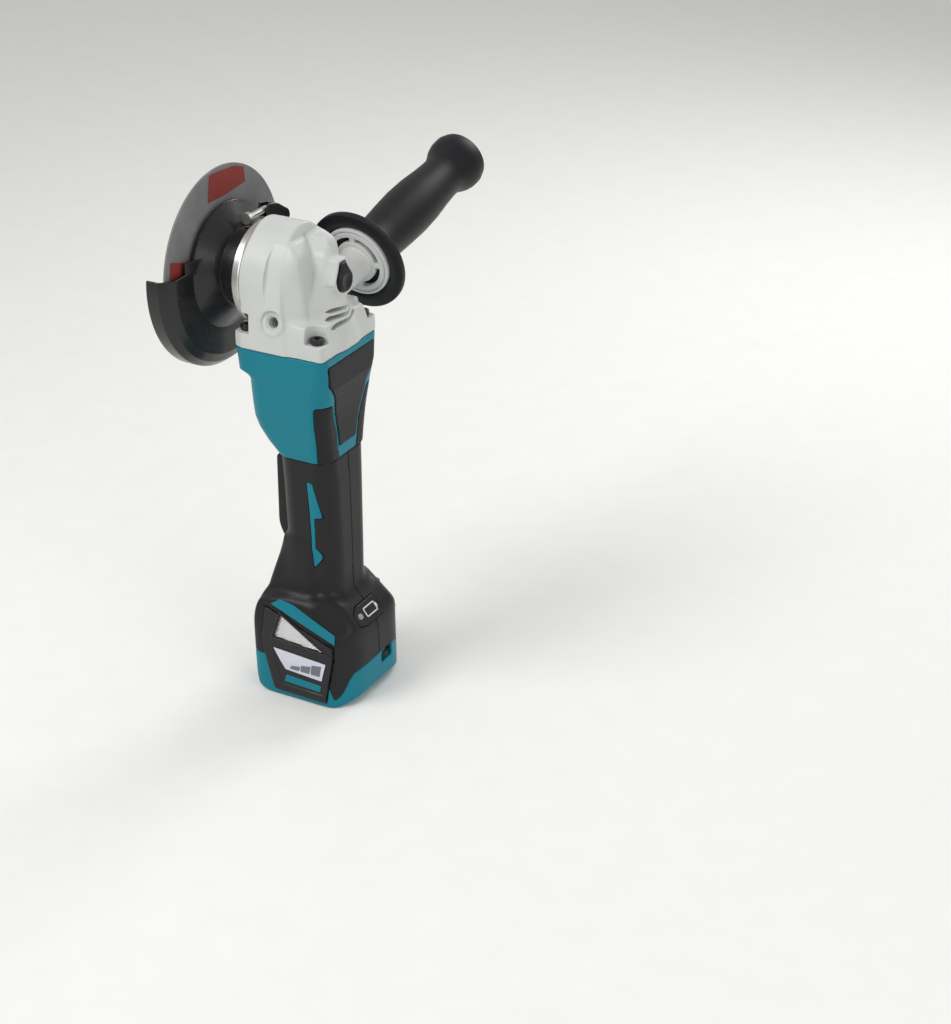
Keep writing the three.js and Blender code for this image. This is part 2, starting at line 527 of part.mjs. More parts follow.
function handleHollow() {
  const grip = prism('z', block(-5, 23, 19, 9), 60, 163);
  const floor = FOOT_TOP_Z - 1;
  const foot = prism('y', [[-22, floor], [36, floor], [36, 44], [24, 60], [-14, 70], [-22, 58]], -31, 31);
  const wireWay = box(-5, 8, -6, 6, 160, 170);
  const paddleBay = box(-20, -4, -14.3, 14.3, 99, 170);
  const switchDoor = box(-8, 0, -9, 9, 110, 150);
  return join(grip, foot, wireWay, paddleBay, switchDoor);
}

function trimWedge(slack) {
  const wedge = [[11, TRIM.to], [17, TRIM.to - 1, 1], [19.4, 118, 2], [18, 112, 1], [15, TRIM.from],
    [12, 104, 1]];
  return prism('y', grown(wedge, slack), -30, TRIM.backY + slack);
}

const BADGE_PLANE = new THREE.Matrix4()
  .makeRotationY(THREE.MathUtils.degToRad(BADGE.tilt))
  .setPosition(BADGE.x, -4, BADGE.z);

// Shapes drawn flat on the sloping shoulder: u runs along the slope, v along Y, w out of the face.
function onShoulder(points, from, to) {
  const geometry = new THREE.ExtrudeGeometry(outline(points), {
    depth: to - from, bevelEnabled: false, curveSegments: 3,
  });
  return solid(geometry.translate(0, 0, from).applyMatrix4(BADGE_PLANE));
}

const BADGE_SHAPE = [[-7, -8, 2], [-3, -13.5, 2], [5, -13.5, 2], [7, -8, 2], [7, 13, 2], [-7, 13, 2]];
const BUTTON_V = -8.5;

const HANDLE_SCREWS = [[18.5, 158], [18.5, 82], [-20.5, 56], [31.3, 40.4]];
const HANDLE_SCREW = { end: -17, shankR: 1.6, seat: 15, headR: 3.2, top: 17.5 };

function addHandleScrews() {
  HANDLE_SCREWS.forEach(([x, z], i) =>
    add(`handle_screw_${i + 1}`, screw(new THREE.Vector3(x, 0, z), Y, HANDLE_SCREW), BLACK_STEEL));
}

// Screw posts inside the shells: a pillar across both, bored for the shank and for the sunk head.
function withScrewPosts(shells) {
  const posts = HANDLE_SCREWS.map(([x, z]) => rod(new THREE.Vector3(x, 0, z), Y, 4, -36, 36, 8));
  const bores = HANDLE_SCREWS.map(([x, z]) => {
    const at = new THREE.Vector3(x, 0, z);
    return join(rod(at, Y, HANDLE_SCREW.shankR + 0.35, -18, 20, 6),
      rod(at, Y, HANDLE_SCREW.headR + 0.4, HANDLE_SCREW.seat - GAP, 45, 10));
  });
  return cut(join(shells, ...posts.map((post) => common(post, handleEnvelope()))), ...bores);
}

function addHandle() {
  const pinBore = rod(new THREE.Vector3(PADDLE_PIVOT.x, 0, PADDLE_PIVOT.z), Y, 2.3, -17, 17, 14);
  const badgeBay = onShoulder(grown(BADGE_SHAPE, GAP), -2.2, 6);
  const buttonBore = onShoulder(block(-3.4, 3.4, 3.4, 1).map(([u, v, r]) => [u, v + BUTTON_V, r]), -12, 0);
  const whole = cut(withScrewPosts(cut(handleEnvelope(), handleHollow())), pinBore, badgeBay, buttonBore);
  const near = cut(common(whole, box(-60, 60, -60, -SPLIT, 0, 200)), trimWedge(GAP), coverBay(-1));
  const far = cut(common(whole, box(-60, 60, SPLIT, 60, 0, 200)), coverBay(1));
  add('handle_shell_left', near, BLACK);
  add('handle_shell_right', far, BLACK);
  add('handle_trim', common(handleEnvelope(), trimWedge(0)), TEAL);
  const badgeHole = rod(new THREE.Vector3(0, BUTTON_V, 0), Z, 2.5, -4, 4, 14).transform(
    BADGE_PLANE.elements);
  addHandleScrews();
  add('battery_gauge_panel', cut(onShoulder(BADGE_SHAPE, -1.9, 0.4), badgeHole), BLACK);
  add('battery_check_button', rod(new THREE.Vector3(0, BUTTON_V, 0), Z, 2.1, -3.6, 0.9, 14)
    .transform(BADGE_PLANE.elements), GREY_PLASTIC);
}

// ---------------------------------------------------------------- trigger paddle

function addPaddle() {
  const { x, z } = PADDLE_PIVOT;
  const side = [[-20.4, 112, 3], [-15, 101, 3], [-11, 101, 1], [-11, 153, 2], [-5, 157, 2], [-5, 162.5, 2],
    [-12, 164.5, 2], [-19.4, 161, 3]];
  const plate = prism('y', side, -13.5, 13.5);
  const slot = box(-30, 0, -4.4, 4.4, 122, 143);
  const bore = rod(new THREE.Vector3(x, 0, z), Y, 2.3, -20, 20, 12);
  const springBay = box(x - 4.4, 0, -4.6, 4.6, z - 6, z + 8);
  add('paddle_switch', cut(plate, slot, bore, springBay), BLACK);
  add('paddle_pivot_pin', rod(new THREE.Vector3(x, 0, z), Y, 2, -16.5, 16.5, 12), STEEL);
  add('paddle_spring', coil(new THREE.Vector3(x, -3.6, z), Y, 3.1, 0.9, 1.2, 6), STEEL);
  const lever = prism('y', [[-24, 137.5, 1], [-25, 141, 1], [-21, 141.5, 1], [-13, 135.5, 1], [-9.8, 135, 1],
    [-9.8, 127.5, 1], [-16, 127.5, 2]], -4, 4);
  add('lock_off_lever', lever, BLACK);
  add('trigger_switch', join(box(-1, 9, -8, 8, 112, 148), box(-3, -1, -3, 3, 118, 124)), BLACK);
}

// ---------------------------------------------------------------- foot with battery slide

function footBase() {
  const { x0, half } = FOOT;
  const plan = [[x0, -half, 12], [34, -half, 3], [38, -34, 4], [45, -22, 6], [46.5, 0, 0], [45, 22, 6],
    [38, 34, 4], [34, half, 3], [x0, half, 12]];
  const side = [[x0, 9, 4], [x0 + 8, 0, 5], [36, 0, 0], [38, 6, 0], [45, 6, 2], [46.5, 18, 5],
    [45, FOOT_TOP_Z, 0], [x0, FOOT_TOP_Z, 0]];
  const outer = common(prism('z', plan, 0, FOOT_TOP_Z, 4), prism('y', side, -42, 42));
  const channel = box(-40, SLOT.end, -SLOT.half, SLOT.half, 7, SLOT.top);
  const mouth = box(-40, SLOT.end, -SLOT.lip, SLOT.lip, -1, 8);
  const boardBay = box(-22, 34, -31, 31, 18, 40);
  const wires = box(22, 32, -10, 10, 14, 20);
  const dialBay = box(22, 42, -2, 19, 10, 17.9).subtract(box(0, 34, -30, 30, 0, 15));
  const dialSlot = rod(new THREE.Vector3(36, 8.7, 0), Z, 10, 18, 24, 20);
  return cut(outer, channel, mouth, boardBay, wires, dialBay, dialSlot, coverBay(-1), coverBay(1));
}

const COVER = [[-18.5, 61.5, 3], [-18.5, 20, 3], [-10.5, 4.3, 3], [27, 3.3, 3], [30, 34, 3], [30, 46, 3],
  [9, 61.5, 3]];
const AIR_WINDOW = [[-6, 57, 1], [-11, 43, 1], [27, 40.5, 1]];

const flank = (side, points, inner, outer) =>
  (side < 0 ? prism('y', points, -outer, -inner) : prism('y', points, inner, outer));

// Recess on each flank of the foot that a clip-on dust cover fills.
const coverBay = (side) => flank(side, grown(COVER, GAP), 37.6, 45);

function addDustCover(side) {
  const name = side < 0 ? 'left' : 'right';
  add(`dust_cover_${name}`, cut(flank(side, COVER, 37.9, 41.2), flank(side, AIR_WINDOW, 35, 45)), BLACK);
  add(`dust_screen_${name}`, flank(side, grown(AIR_WINDOW, -0.4), 38.8, 40.2), MESH);
}

function addFoot() {
  add('foot_base', footBase(), TEAL);
  addDustCover(-1);
  addDustCover(1);
  const body = box(21.5, SLOT.end - GAP, -15, 15, 2, SLOT.top - GAP);
  const blades = [-10, 0, 10].map((y) => box(9, 22, y - 0.5, y + 0.5, 5, 12.5));
  add('terminal_block', join(body, ...blades), finish(0xc9a227, 0.5, 0));
  add('controller_board', join(box(-21, 20, -29, 29, 18.3, 24), box(-14, -2, -20, -8, 24, 30),
    box(-14, -2, 8, 20, 24, 30)), BOARD);
  add('speed_dial', tube(new THREE.Vector3(36, 8.7, 0), Z, 2.2, 9.2, 18.4, 23.4, 20), BLACK);
}

// ---------------------------------------------------------------- side handle

function addSideHandle() {
  const along = (profile, sides) => turned(profile, SIDE_FLANGE, SIDE_AXIS, sides);
  add('side_handle_stud', along([[BOSS_T - 12.5, 0], [BOSS_T - 12.5, 3.9], [24, 3.9], [24, 0]],
    12), STEEL);
  add('side_handle_core', along([[BOSS_T + GAP, 4.2], [BOSS_T + GAP, 9], [-24, 10.5], [-4, 11], [-3, 14],
    [-1.5, 14], [-1.5, 24], [1.2, 24], [1.2, 14], [24, 11], [26, 11], [26, 4.2], [BOSS_T + GAP, 4.2]], 22),
  GREY_PLASTIC);
  add('side_handle_grip', along([[-0.8, 24.4], [-2.2, 27], [-1.5, 34.3], [2.5, 34.3], [5, 27], [12, 18.5],
    [20, 16], [60, 17.5], [100, 15], [110, 15.4], [118, 19.6], [127, 20.5], [134, 16], [137, 0],
    [26.5, 0], [26.5, 11.4], [24, 11.4], [1.6, 14.4], [1.6, 24.4], [-0.8, 24.4]], 22), RUBBER);
}

// ---------------------------------------------------------------- put together

add('gear_housing', gearHousing(), PAINT);
add('bearing_box', bearingBox(), ALUMINIUM);
addHousingScrews();
addSpindle();
addShaftLock();
addGuard();
addMotor();
addMotorHousing();
addHandle();
addPaddle();
addFoot();
addSideHandle();

export default grinder;
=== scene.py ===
import json
import math
import bmesh
import bpy
import numpy as np
from mathutils import Matrix, Vector


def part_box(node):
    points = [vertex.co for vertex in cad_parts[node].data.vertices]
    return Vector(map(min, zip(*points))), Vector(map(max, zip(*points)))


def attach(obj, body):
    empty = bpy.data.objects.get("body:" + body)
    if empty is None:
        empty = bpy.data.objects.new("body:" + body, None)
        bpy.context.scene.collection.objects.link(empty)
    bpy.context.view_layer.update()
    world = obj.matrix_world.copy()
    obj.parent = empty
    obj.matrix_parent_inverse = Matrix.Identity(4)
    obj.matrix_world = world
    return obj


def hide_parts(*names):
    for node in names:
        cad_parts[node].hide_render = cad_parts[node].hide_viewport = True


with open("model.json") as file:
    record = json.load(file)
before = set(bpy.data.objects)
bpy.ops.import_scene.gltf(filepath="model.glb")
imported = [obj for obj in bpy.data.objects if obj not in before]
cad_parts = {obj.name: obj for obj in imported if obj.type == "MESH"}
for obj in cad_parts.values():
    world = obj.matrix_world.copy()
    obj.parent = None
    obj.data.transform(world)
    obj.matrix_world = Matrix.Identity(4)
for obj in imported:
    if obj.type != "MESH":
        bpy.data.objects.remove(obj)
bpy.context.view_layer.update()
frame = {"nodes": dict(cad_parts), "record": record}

# ---------------------------------------------------------------- gear head
# Light grey painted magnesium casting that holds the bevel gears. It is one casting with a square
# foot, a round roof over the crown wheel and a faceted brow, machined where the screws and handle sit.

HEAD_Z = 280.0
HEAD = (0, 0, HEAD_Z)
ORIGIN = (0, 0, 0)
ACROSS, ALONG, UP = (1, 0, 0), (0, 1, 0), (0, 0, 1)


def meet(k, *fields):
    out = fields[0]
    for other in fields[1:]:
        h = np.clip(0.5 - 0.5 * (other - out) / k, 0, 1)
        out = other + (out - other) * h + k * h * (1 - h)
    return out


def fuse(k, *fields):
    out = fields[0]
    for other in fields[1:]:
        h = np.clip(0.5 + 0.5 * (other - out) / k, 0, 1)
        out = other + (out - other) * h - k * h * (1 - h)
    return out


def carve(k, body, *holes):
    for hole in holes:
        body = meet(k, body, -hole)
    return body


def slab(p, low, high):
    return np.abs(p - (low + high) / 2) - (high - low) / 2


def rounded(u, v, u0, u1, v0, v1, r):
    a = np.abs(u - (u0 + u1) / 2) - (u1 - u0) / 2 + r
    b = np.abs(v - (v0 + v1) / 2) - (v1 - v0) / 2 + r
    return np.hypot(np.maximum(a, 0), np.maximum(b, 0)) + np.minimum(np.maximum(a, b), 0) - r


def hull(u, v, points, k=1.0):
    pts = np.array(points, float)
    mid = pts.mean(axis=0)
    sides = []
    for a, b in zip(pts, np.roll(pts, -1, axis=0)):
        n = np.array([b[1] - a[1], a[0] - b[0]]) / np.hypot(*(b - a))
        n = n if n @ (a - mid) > 0 else -n
        sides.append((u - a[0]) * n[0] + (v - a[1]) * n[1])
    return meet(k, *sides)


def pin(x, y, z, at, way, r, low, high):
    way = Vector(way).normalized()
    dx, dy, dz = x - at[0], y - at[1], z - at[2]
    along = dx * way.x + dy * way.y + dz * way.z
    out = np.sqrt(np.maximum(dx * dx + dy * dy + dz * dz - along * along, 1e-9)) - r
    return np.maximum(out, slab(along, low, high))


def skin(name, field, low, high, step):
    axes = [np.arange(a - 2 * step, b + 2.5 * step, step, dtype=np.float32) for a, b in zip(low, high)]
    grid = np.meshgrid(*axes, indexing="ij")
    f = field(*grid).astype(np.float32)
    inside = f < 0
    n = [s - 1 for s in f.shape]
    corners = [(i, j, k) for i in (0, 1) for j in (0, 1) for k in (0, 1)]
    part = lambda a, c: a[c[0]:c[0] + n[0], c[1]:c[1] + n[1], c[2]:c[2] + n[2]]
    count = sum(part(inside, c).astype(np.int8) for c in corners)
    cells = np.argwhere((count > 0) & (count < 8))
    index = np.full(n, -1, np.int64)
    index[tuple(cells.T)] = np.arange(len(cells))
    total, hits = np.zeros((len(cells), 3)), np.zeros(len(cells))
    for c in corners:
        for axis in range(3):
            if c[axis]:
                continue
            d = list(c)
            d[axis] = 1
            fa, fb = f[tuple((cells + c).T)], f[tuple((cells + d).T)]
            cross = (fa < 0) != (fb < 0)
            t = np.where(cross, fa / np.where(cross, fa - fb, 1), 0)
            p = np.array(c, float) + np.outer(t, np.eye(3)[axis])
            total += p * cross[:, None]
            hits += cross
    verts = (cells + total / hits[:, None]) * step + [a[0] for a in axes]
    quads = []
    for axis in range(3):
        b, c = (axis + 1) % 3, (axis + 2) % 3
        lo, hi = [slice(None)] * 3, [slice(None)] * 3
        lo[axis], hi[axis] = slice(0, -1), slice(1, None)
        change = inside[tuple(lo)] != inside[tuple(hi)]
        e = np.argwhere(change)
        e = e[(e[:, b] > 0) & (e[:, c] > 0) & (e[:, b] < n[b]) & (e[:, c] < n[c])]
        shift = lambda db, dc: tuple((e - np.eye(3, dtype=int)[b] * db - np.eye(3, dtype=int)[c] * dc).T)
        quad = np.stack([index[shift(1, 1)], index[shift(0, 1)], index[shift(0, 0)], index[shift(1, 0)]], 1)
        flip = ~inside[tuple(e.T)]
        quad[flip] = quad[flip][:, ::-1]
        quads.append(quad)
    quads = np.concatenate(quads)

    def slope(p):
        g = [field(*(p + d).T) - field(*(p - d).T) for d in np.eye(3) * 0.05]
        return np.stack(g, 1) / 0.1

    for _ in range(3):
        g = slope(verts)
        move = g * (field(*verts.T) / np.maximum((g * g).sum(1), 0.2))[:, None]
        verts -= np.clip(move, -0.4 * step, 0.4 * step)
    mesh = bpy.data.meshes.new(name)
    mesh.from_pydata((verts / 1000).tolist(), [], quads.tolist())
    mesh.shade_smooth()
    g = slope(verts)
    mesh.normals_split_custom_set_from_vertices(
        (g / np.maximum(np.linalg.norm(g, axis=1), 1e-6)[:, None]).tolist())
    made = bpy.data.objects.new(name, mesh)
    bpy.context.scene.collection.objects.link(made)
    return made


def finish_of(name, colour, rough, metal=0.0, grain=900.0, bump=0.12, vary=0.06, coat=0.0):
    material = bpy.data.materials.new(name)
    material.use_nodes = True
    nodes, links = material.node_tree.nodes, material.node_tree.links
    shader = nodes["Principled BSDF"]
    shader.inputs["Metallic"].default_value = metal
    shader.inputs["Specular IOR Level"].default_value = 0.5 if metal else 0.26
    shader.inputs["Coat Weight"].default_value = coat
    shader.inputs["Coat Roughness"].default_value = 0.12
    place = nodes.new("ShaderNodeTexCoord")
    broad, fine = nodes.new("ShaderNodeTexNoise"), nodes.new("ShaderNodeTexNoise")
    broad.inputs["Scale"].default_value, fine.inputs["Scale"].default_value = 38.0, grain
    broad.inputs["Detail"].default_value = 5.0
    for noise in (broad, fine):
        links.new(place.outputs["Object"], noise.inputs["Vector"])
    tone = nodes.new("ShaderNodeValToRGB")
    tone.color_ramp.elements[0].position, tone.color_ramp.elements[1].position = 0.3, 0.7
    tone.color_ramp.elements[0].color = [c * (1 - vary) for c in colour] + [1]
    tone.color_ramp.elements[1].color = [min(c * (1 + vary), 1) for c in colour] + [1]
    links.new(broad.outputs["Fac"], tone.inputs["Fac"])
    links.new(tone.outputs["Color"], shader.inputs["Base Color"])
    gloss = nodes.new("ShaderNodeMapRange")
    gloss.inputs["To Min"].default_value = rough - 0.06
    gloss.inputs["To Max"].default_value = rough + 0.06
    links.new(broad.outputs["Fac"], gloss.inputs["Value"])
    links.new(gloss.outputs["Result"], shader.inputs["Roughness"])
    relief = nodes.new("ShaderNodeBump")
    relief.inputs["Strength"].default_value, relief.inputs["Distance"].default_value = bump, 0.0002
    links.new(fine.outputs["Fac"], relief.inputs["Height"])
    links.new(relief.outputs["Normal"], shader.inputs["Normal"])
    return material


def dress(piece, material, body, slot, *nodes):
    piece.data.materials.clear()
    piece.data.materials.append(material)
    piece.data.polygons.foreach_set("material_index", [0] * len(piece.data.polygons))
    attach(piece, body)
    if nodes:
        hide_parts(*nodes)
    return piece


def side_boss(x, y, z, sign):
    at, way = (-1.4, sign * 65.4, 269.7), (0.026, sign * 0.973, 0.229)
    radius = 7.0 if sign < 0 else 9.2
    pad = pin(x, y, z, at, way, radius, -46.5, -33.8)
    face = pin(x, y, z, at, way, radius + 0.5, -33.8, -20)
    bore = pin(x, y, z, at, way, 3.5, -47, -30)
    rim = pin(x, y, z, at, way, 4.6, -34.6, -30)
    return pad, np.minimum(face, np.minimum(bore, rim))


def button_edge(y, z):
    tail = hull(y, z, [(-6, 286), (6, 286), (3.2, 296), (-3.2, 296)], 1.5)
    return fuse(3, np.hypot(y, z - 284) - 6.6, tail)


SCREW_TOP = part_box("gear_housing_screw_1")[1][2] * 1000
LOCK_AT = (0, 0, 292)
# Outlines of the casting's parts, seen along y (side) and along x (back).
FOOT_SIDE = [(-33, 236), (33, 236), (33, 252), (28, 262.5), (-26, 262.5), (-33, 251)]
FOOT_BACK = [(-40, 236), (33, 236), (33, 253), (30, 262.5), (-40, 262.5)]
ROOF_SIDE = [(-26, 238), (6, 238), (2, 318), (-26, 318)]
BROW_SIDE = [(-22, 238), (33, 238), (32.6, 266), (30.2, 285), (27, 297.5), (20, 309.5), (12, 316.6), (-22, 317.2)]
BROW_BACK = [(-40, 238), (31, 238), (28.5, 254), (20.4, 270), (17.6, 286), (15.4, 302), (12, 312), (0, 330),
             (-40, 330)]
CHEEK_SIDE = [(-10, 238), (20, 238), (12, 300), (4, 309), (-10, 309)]
PANEL_EDGE = [(-10, -1), (8, -1), (11, 9), (-7, 9)]
SLOT_EDGE = [(-17, 259.4), (-14, 258), (9, 258), (12, 259.4), (9, 260.4), (-14, 260.4)]


def vent_slot(x, y, z, i):
    edge = [(u, v + 4 * i) for u, v in SLOT_EDGE]
    return meet(0.6, hull(y - 2.4 * i, z - 0.1 * y, edge, 0.4), slab(x, 16, 45))


def gear_head(x, y, z):
    w = np.abs(y)
    foot = meet(3, rounded(x, y, -33, 33, -33, 33, 5), hull(x, z, FOOT_SIDE, 2), hull(w, z, FOOT_BACK, 2))
    arch = (np.sqrt((y / 33) ** 2 + ((z - 262) / 54.6) ** 2) - 1) * 33
    barrel = meet(2.5, np.where(z > 262, arch, w - 33), hull(x, z, ROOF_SIDE, 1))
    brow_side = hull(x, z, BROW_SIDE, 3)
    facet = 0.776 * (x - 14.3) + 0.60 * (w - 18) + 0.20 * (z - 284)
    brow = meet(2.2, brow_side, hull(w, z, BROW_BACK, 1.4), facet, arch * 0.6 + (z < 262) * -3)
    bevel = 0.55 * (x - 5.2) + 0.835 * (w - 28.2) + 0.10 * (z - 285)
    cheek = meet(2.5, bevel, hull(x, z, CHEEK_SIDE, 2), arch)
    nose = pin(x, y, z, HEAD, ACROSS, 32.4, -26, -8)
    out = fuse(4.5, foot, fuse(1.5, fuse(1.2, barrel, cheek), brow, nose))
    near, near_hole = side_boss(x, y, z, -1)
    far, far_hole = side_boss(x, y, z, 1)
    out = fuse(3.5, out, near, far)
    out = fuse(4, out, meet(1.2, button_edge(y, z) - 2.2, slab(x, 5, 29.4)))
    roof_panel = meet(0.5, hull(y, x + (z - 309) * -0.9, PANEL_EDGE, 0.6), slab(z, 296, 330), -(brow_side + 0.9))
    slots = [vent_slot(x, y, z, i) for i in range(3)]
    corner_pocket = meet(1.2, rounded(np.abs(x), w, 19.8, 45, 21.8, 45, 5.5), SCREW_TOP - 3.4 - z,
                         z - np.where(x < 0, 264.5, 282))
    lock_pocket = meet(0.5, button_edge(y, z) - 0.45, 22.5 - x)
    seat = pin(x, y, z, HEAD, ACROSS, 33.1, -60, -26)
    out = carve(0.8, out, roof_panel, *slots, corner_pocket, lock_pocket, near_hole, far_hole, seat)
    room = np.minimum(pin(x, y, z, HEAD, ACROSS, 28.6, -30, -3.5), pin(x, y, z, ORIGIN, UP, 13.5, 230, 258))
    duct = np.maximum(rounded(x, y, 12, 20, -11, 11, 2), slab(z, 236, 270))
    lock_bore = np.minimum(pin(x, y, z, LOCK_AT, ACROSS, 2.7, -5, 40), pin(x, y, z, LOCK_AT, ACROSS, 4.9, 14, 24))
    needle_bore = pin(x, y, z, HEAD, ACROSS, 8.6, -6, 12.3)
    return carve(0.3, meet(0.8, out, 241.3 - z), room, duct, lock_bore, needle_bore)


paint = finish_of("painted_casting", (0.56, 0.575, 0.56), 0.36, grain=1400, bump=0.16, vary=0.03)
dress(skin("head_casting", gear_head, (-33, -36, 241), (35, 36, 318), 0.62), paint, "housing", "painted_head",
      "gear_housing")

# ---------------------------------------------------------------- bearing ring
# Turned aluminium plate that closes the head on the wheel's side. It is screwed on with four
# screws, and its neck is the seat that the guard's strap closes on.


def turned(name, profile, at, way, sides=128, crease=28):
    way = Vector(way).normalized()
    turn = Vector((0, 0, 1)).rotation_difference(way).to_matrix().to_4x4()
    made = bmesh.new()
    angles = [i * math.tau / sides for i in range(sides)]
    rings = []
    for along, radius in profile:
        if radius < 1e-6:
            rings.append([made.verts.new((0, 0, along))])
        else:
            rings.append([made.verts.new((radius * math.cos(a), radius * math.sin(a), along)) for a in angles])
    closed = profile[0][1] > 1e-6
    pairs = list(zip(rings, rings[1:])) + ([(rings[-1], rings[0])] if closed else [])
    for a, b in pairs:
        for i in range(sides):
            j = (i + 1) % sides
            if len(a) == 1:
                made.faces.new((a[0], b[i], b[j]))
            elif len(b) == 1:
                made.faces.new((a[i], a[j], b[0]))
            else:
                made.faces.new((a[i], a[j], b[j], b[i]))
    bmesh.ops.recalc_face_normals(made, faces=made.faces)
    made.transform(Matrix.Translation(Vector(at) / 1000) @ Matrix.Scale(0.001, 4) @ turn)
    mesh = bpy.data.meshes.new(name)
    made.to_mesh(mesh)
    made.free()
    mesh.shade_smooth()
    mesh.set_sharp_from_angle(angle=math.radians(crease))
    piece = bpy.data.objects.new(name, mesh)
    bpy.context.scene.collection.objects.link(piece)
    return piece


# A turned profile is a list of places along the axis, each with its radius.
RING = [(-26.3, 17.5), (-26.3, 31.9), (-26.9, 32.5), (-30.9, 32.3), (-31.9, 31.3), (-31.9, 26), (-32.5, 25.4),
        (-32.5, 23.4), (-33, 23), (-43.4, 23), (-44, 22.4), (-44, 10.5), (-41, 10.5), (-41, 16.4), (-29.5, 16.4),
        (-29.5, 17.5)]
aluminium = finish_of("machined_aluminium", (0.62, 0.62, 0.60), 0.3, metal=1.0, grain=1600, bump=0.1)
dress(turned("bearing_ring", RING, HEAD, ACROSS), aluminium, "housing", "bare_aluminium", "bearing_box")

# ---------------------------------------------------------------- motor housing and soft grip
# Teal glass-filled nylon barrel round the motor, stepped out to a square flange under the head.
# A black rubber pad is moulded over its front, with a black skirt below it round both flanks.


def tower(x, y, z, rows):
    rows = np.array(rows, float)
    x0, x1, half, r = (np.interp(z, rows[:, 0], rows[:, i]) for i in (1, 2, 3, 4))
    return rounded(x, y, x0, x1, -half, half, r)


# Each row of a tower: its height, the x of its back and of its front, half its width, its corner radius.
BARREL = [(160, -12, 27.2, 25, 11), (168, -12, 27.3, 25.6, 11), (177, -19.5, 27.6, 26.8, 11),
          (186, -24.6, 28, 28.2, 11), (193, -26.4, 28.4, 29.4, 11), (201, -26.6, 29.4, 30.4, 11),
          (212, -26.6, 31.3, 31.4, 11), (220, -26.6, 33, 32, 11), (223, -28.5, 33, 32.3, 10),
          (225.5, -33, 33, 32.6, 9), (242, -33, 33, 33, 7)]


def barrel_skin(x, y, z):
    return meet(1.0, tower(x, y, z, BARREL) * 0.94, slab(z, 167.9, 241))


def pad_shape(x, y, z):
    w = np.abs(y)
    width = np.interp(z, [160, 168, 175, 187, 207, 212, 216, 224, 236],
                      [8.4, 8.6, 9.4, 11, 17.2, 17.8, 20, 25.6, 26.4])
    return meet(1.2, w - width, slab(z, 176.5, 236), 17 - x)


def skirt_shape(x, y, z):
    w = np.abs(y)
    width = np.interp(z, [160, 168, 175, 187, 207, 214], [9.6, 10, 11.4, 13, 19.8, 23])
    edge = np.interp(z, [160, 168, 180, 196, 207, 212], [19, 20.6, 21.5, 22, 23, 27])
    return meet(1.2, width - w, z - 208.5, edge - x, 166.5 - z)


def motor_body(x, y, z):
    groove = np.minimum(pad_shape(x, y, z), skirt_shape(x, y, z)) - 0.3
    room = np.minimum(pin(x, y, z, ORIGIN, UP, 22.6, 192, 250), pin(x, y, z, ORIGIN, UP, 10, 160, 195))
    core = pin(x, y, z, ORIGIN, UP, 25.4, 150, 250)
    shell = barrel_skin(x, y, z)
    return carve(0.3, shell, meet(0.4, groove, -(shell + 2.4), -core), room)


def soft_pad(x, y, z):
    return meet(0.8, barrel_skin(x, y, z) - 0.5, pad_shape(x, y, z), -(barrel_skin(x, y, z) + 2.2))


def side_skirt(x, y, z):
    return meet(0.8, barrel_skin(x, y, z) - 0.15, skirt_shape(x, y, z), -(barrel_skin(x, y, z) + 2.2))


teal = finish_of("teal_nylon", (0.0, 0.185, 0.25), 0.4, grain=1500, bump=0.2, vary=0.04)
black = finish_of("black_nylon", (0.011, 0.011, 0.013), 0.4, grain=1300, bump=0.28, vary=0.08)
rubber = finish_of("soft_rubber", (0.008, 0.008, 0.01), 0.46, grain=2200, bump=0.4, vary=0.1)
dress(skin("motor_barrel", motor_body, (-33, -33, 168), (34, 33, 241), 0.72), teal, "housing", "teal_plastic",
      "motor_housing")
dress(skin("grip_pad", soft_pad, (14, -27, 175), (34.5, 27, 237), 0.6), rubber, "housing", "grip_rubber",
      "soft_grip")
dress(skin("grip_skirt", side_skirt, (18, -31, 168), (33, 31, 210), 0.6), rubber, "housing", "grip_rubber")

# ---------------------------------------------------------------- handle shells
# Two black nylon half shells, screwed together along the middle plane. The neck is slim for the
# hand and flares into a wide foot with sloping shoulders, which houses the electronics.

NECK = [(40, -12, 27.4, 21.2, 12), (72, -12, 27.6, 21.4, 12), (100, -12, 28, 22.4, 13),
        (150, -12, 28, 23.8, 13), (169, -12, 27.4, 24.4, 12)]
FOOT_FRONT = [(-60, -60), (-60, 44), (24, 44), (31.5, 39.6), (39, 33), (45.6, 20), (46.9, 0), (46.9, -60)]
SHOULDER_SIDE = [(-26.3, -20), (-29.4, 44), (-29.4, 52), (-24.6, 65), (8, 75.5), (28, 70), (38, 61.5), (44, 53.5),
                 (46.5, 45), (46.5, -20)]
SHOULDER_BACK = [(-60, -20), (44, -20), (44, 66), (33, 69.5), (24, 75.5), (12, 79), (-60, 79)]
FLARE_SIDE = [(-27, 52), (-25.4, 64), (-22.8, 74), (-17.8, 90), (-11.5, 107), (10, 107), (10, 52)]
ROOM_SIDE = [(-22, 20), (36, 20), (36, 42), (24, 58), (-14, 66), (-22, 56)]
COVER_EDGE = [(-18.5, 61.5), (-20, 40), (-11, 4), (28, 3.2), (33.5, 34), (33.5, 45)]
BADGE_EDGE = [(-7, -8), (-3, -13.5), (5, -13.5), (7, -8), (7, 13), (-7, 13)]
SHOULDER_TILT = math.radians(52)


def lean(z):
    return np.interp(z, [0, 10, 28, 45, 60, 70], [39.2, 39.8, 39.8, 38.2, 35.4, 33])


def foot_plan(x, y):
    return meet(3, rounded(x, y, -30.4, 50, -39.9, 39.9, 11), hull(x, np.abs(y), FOOT_FRONT, 3))


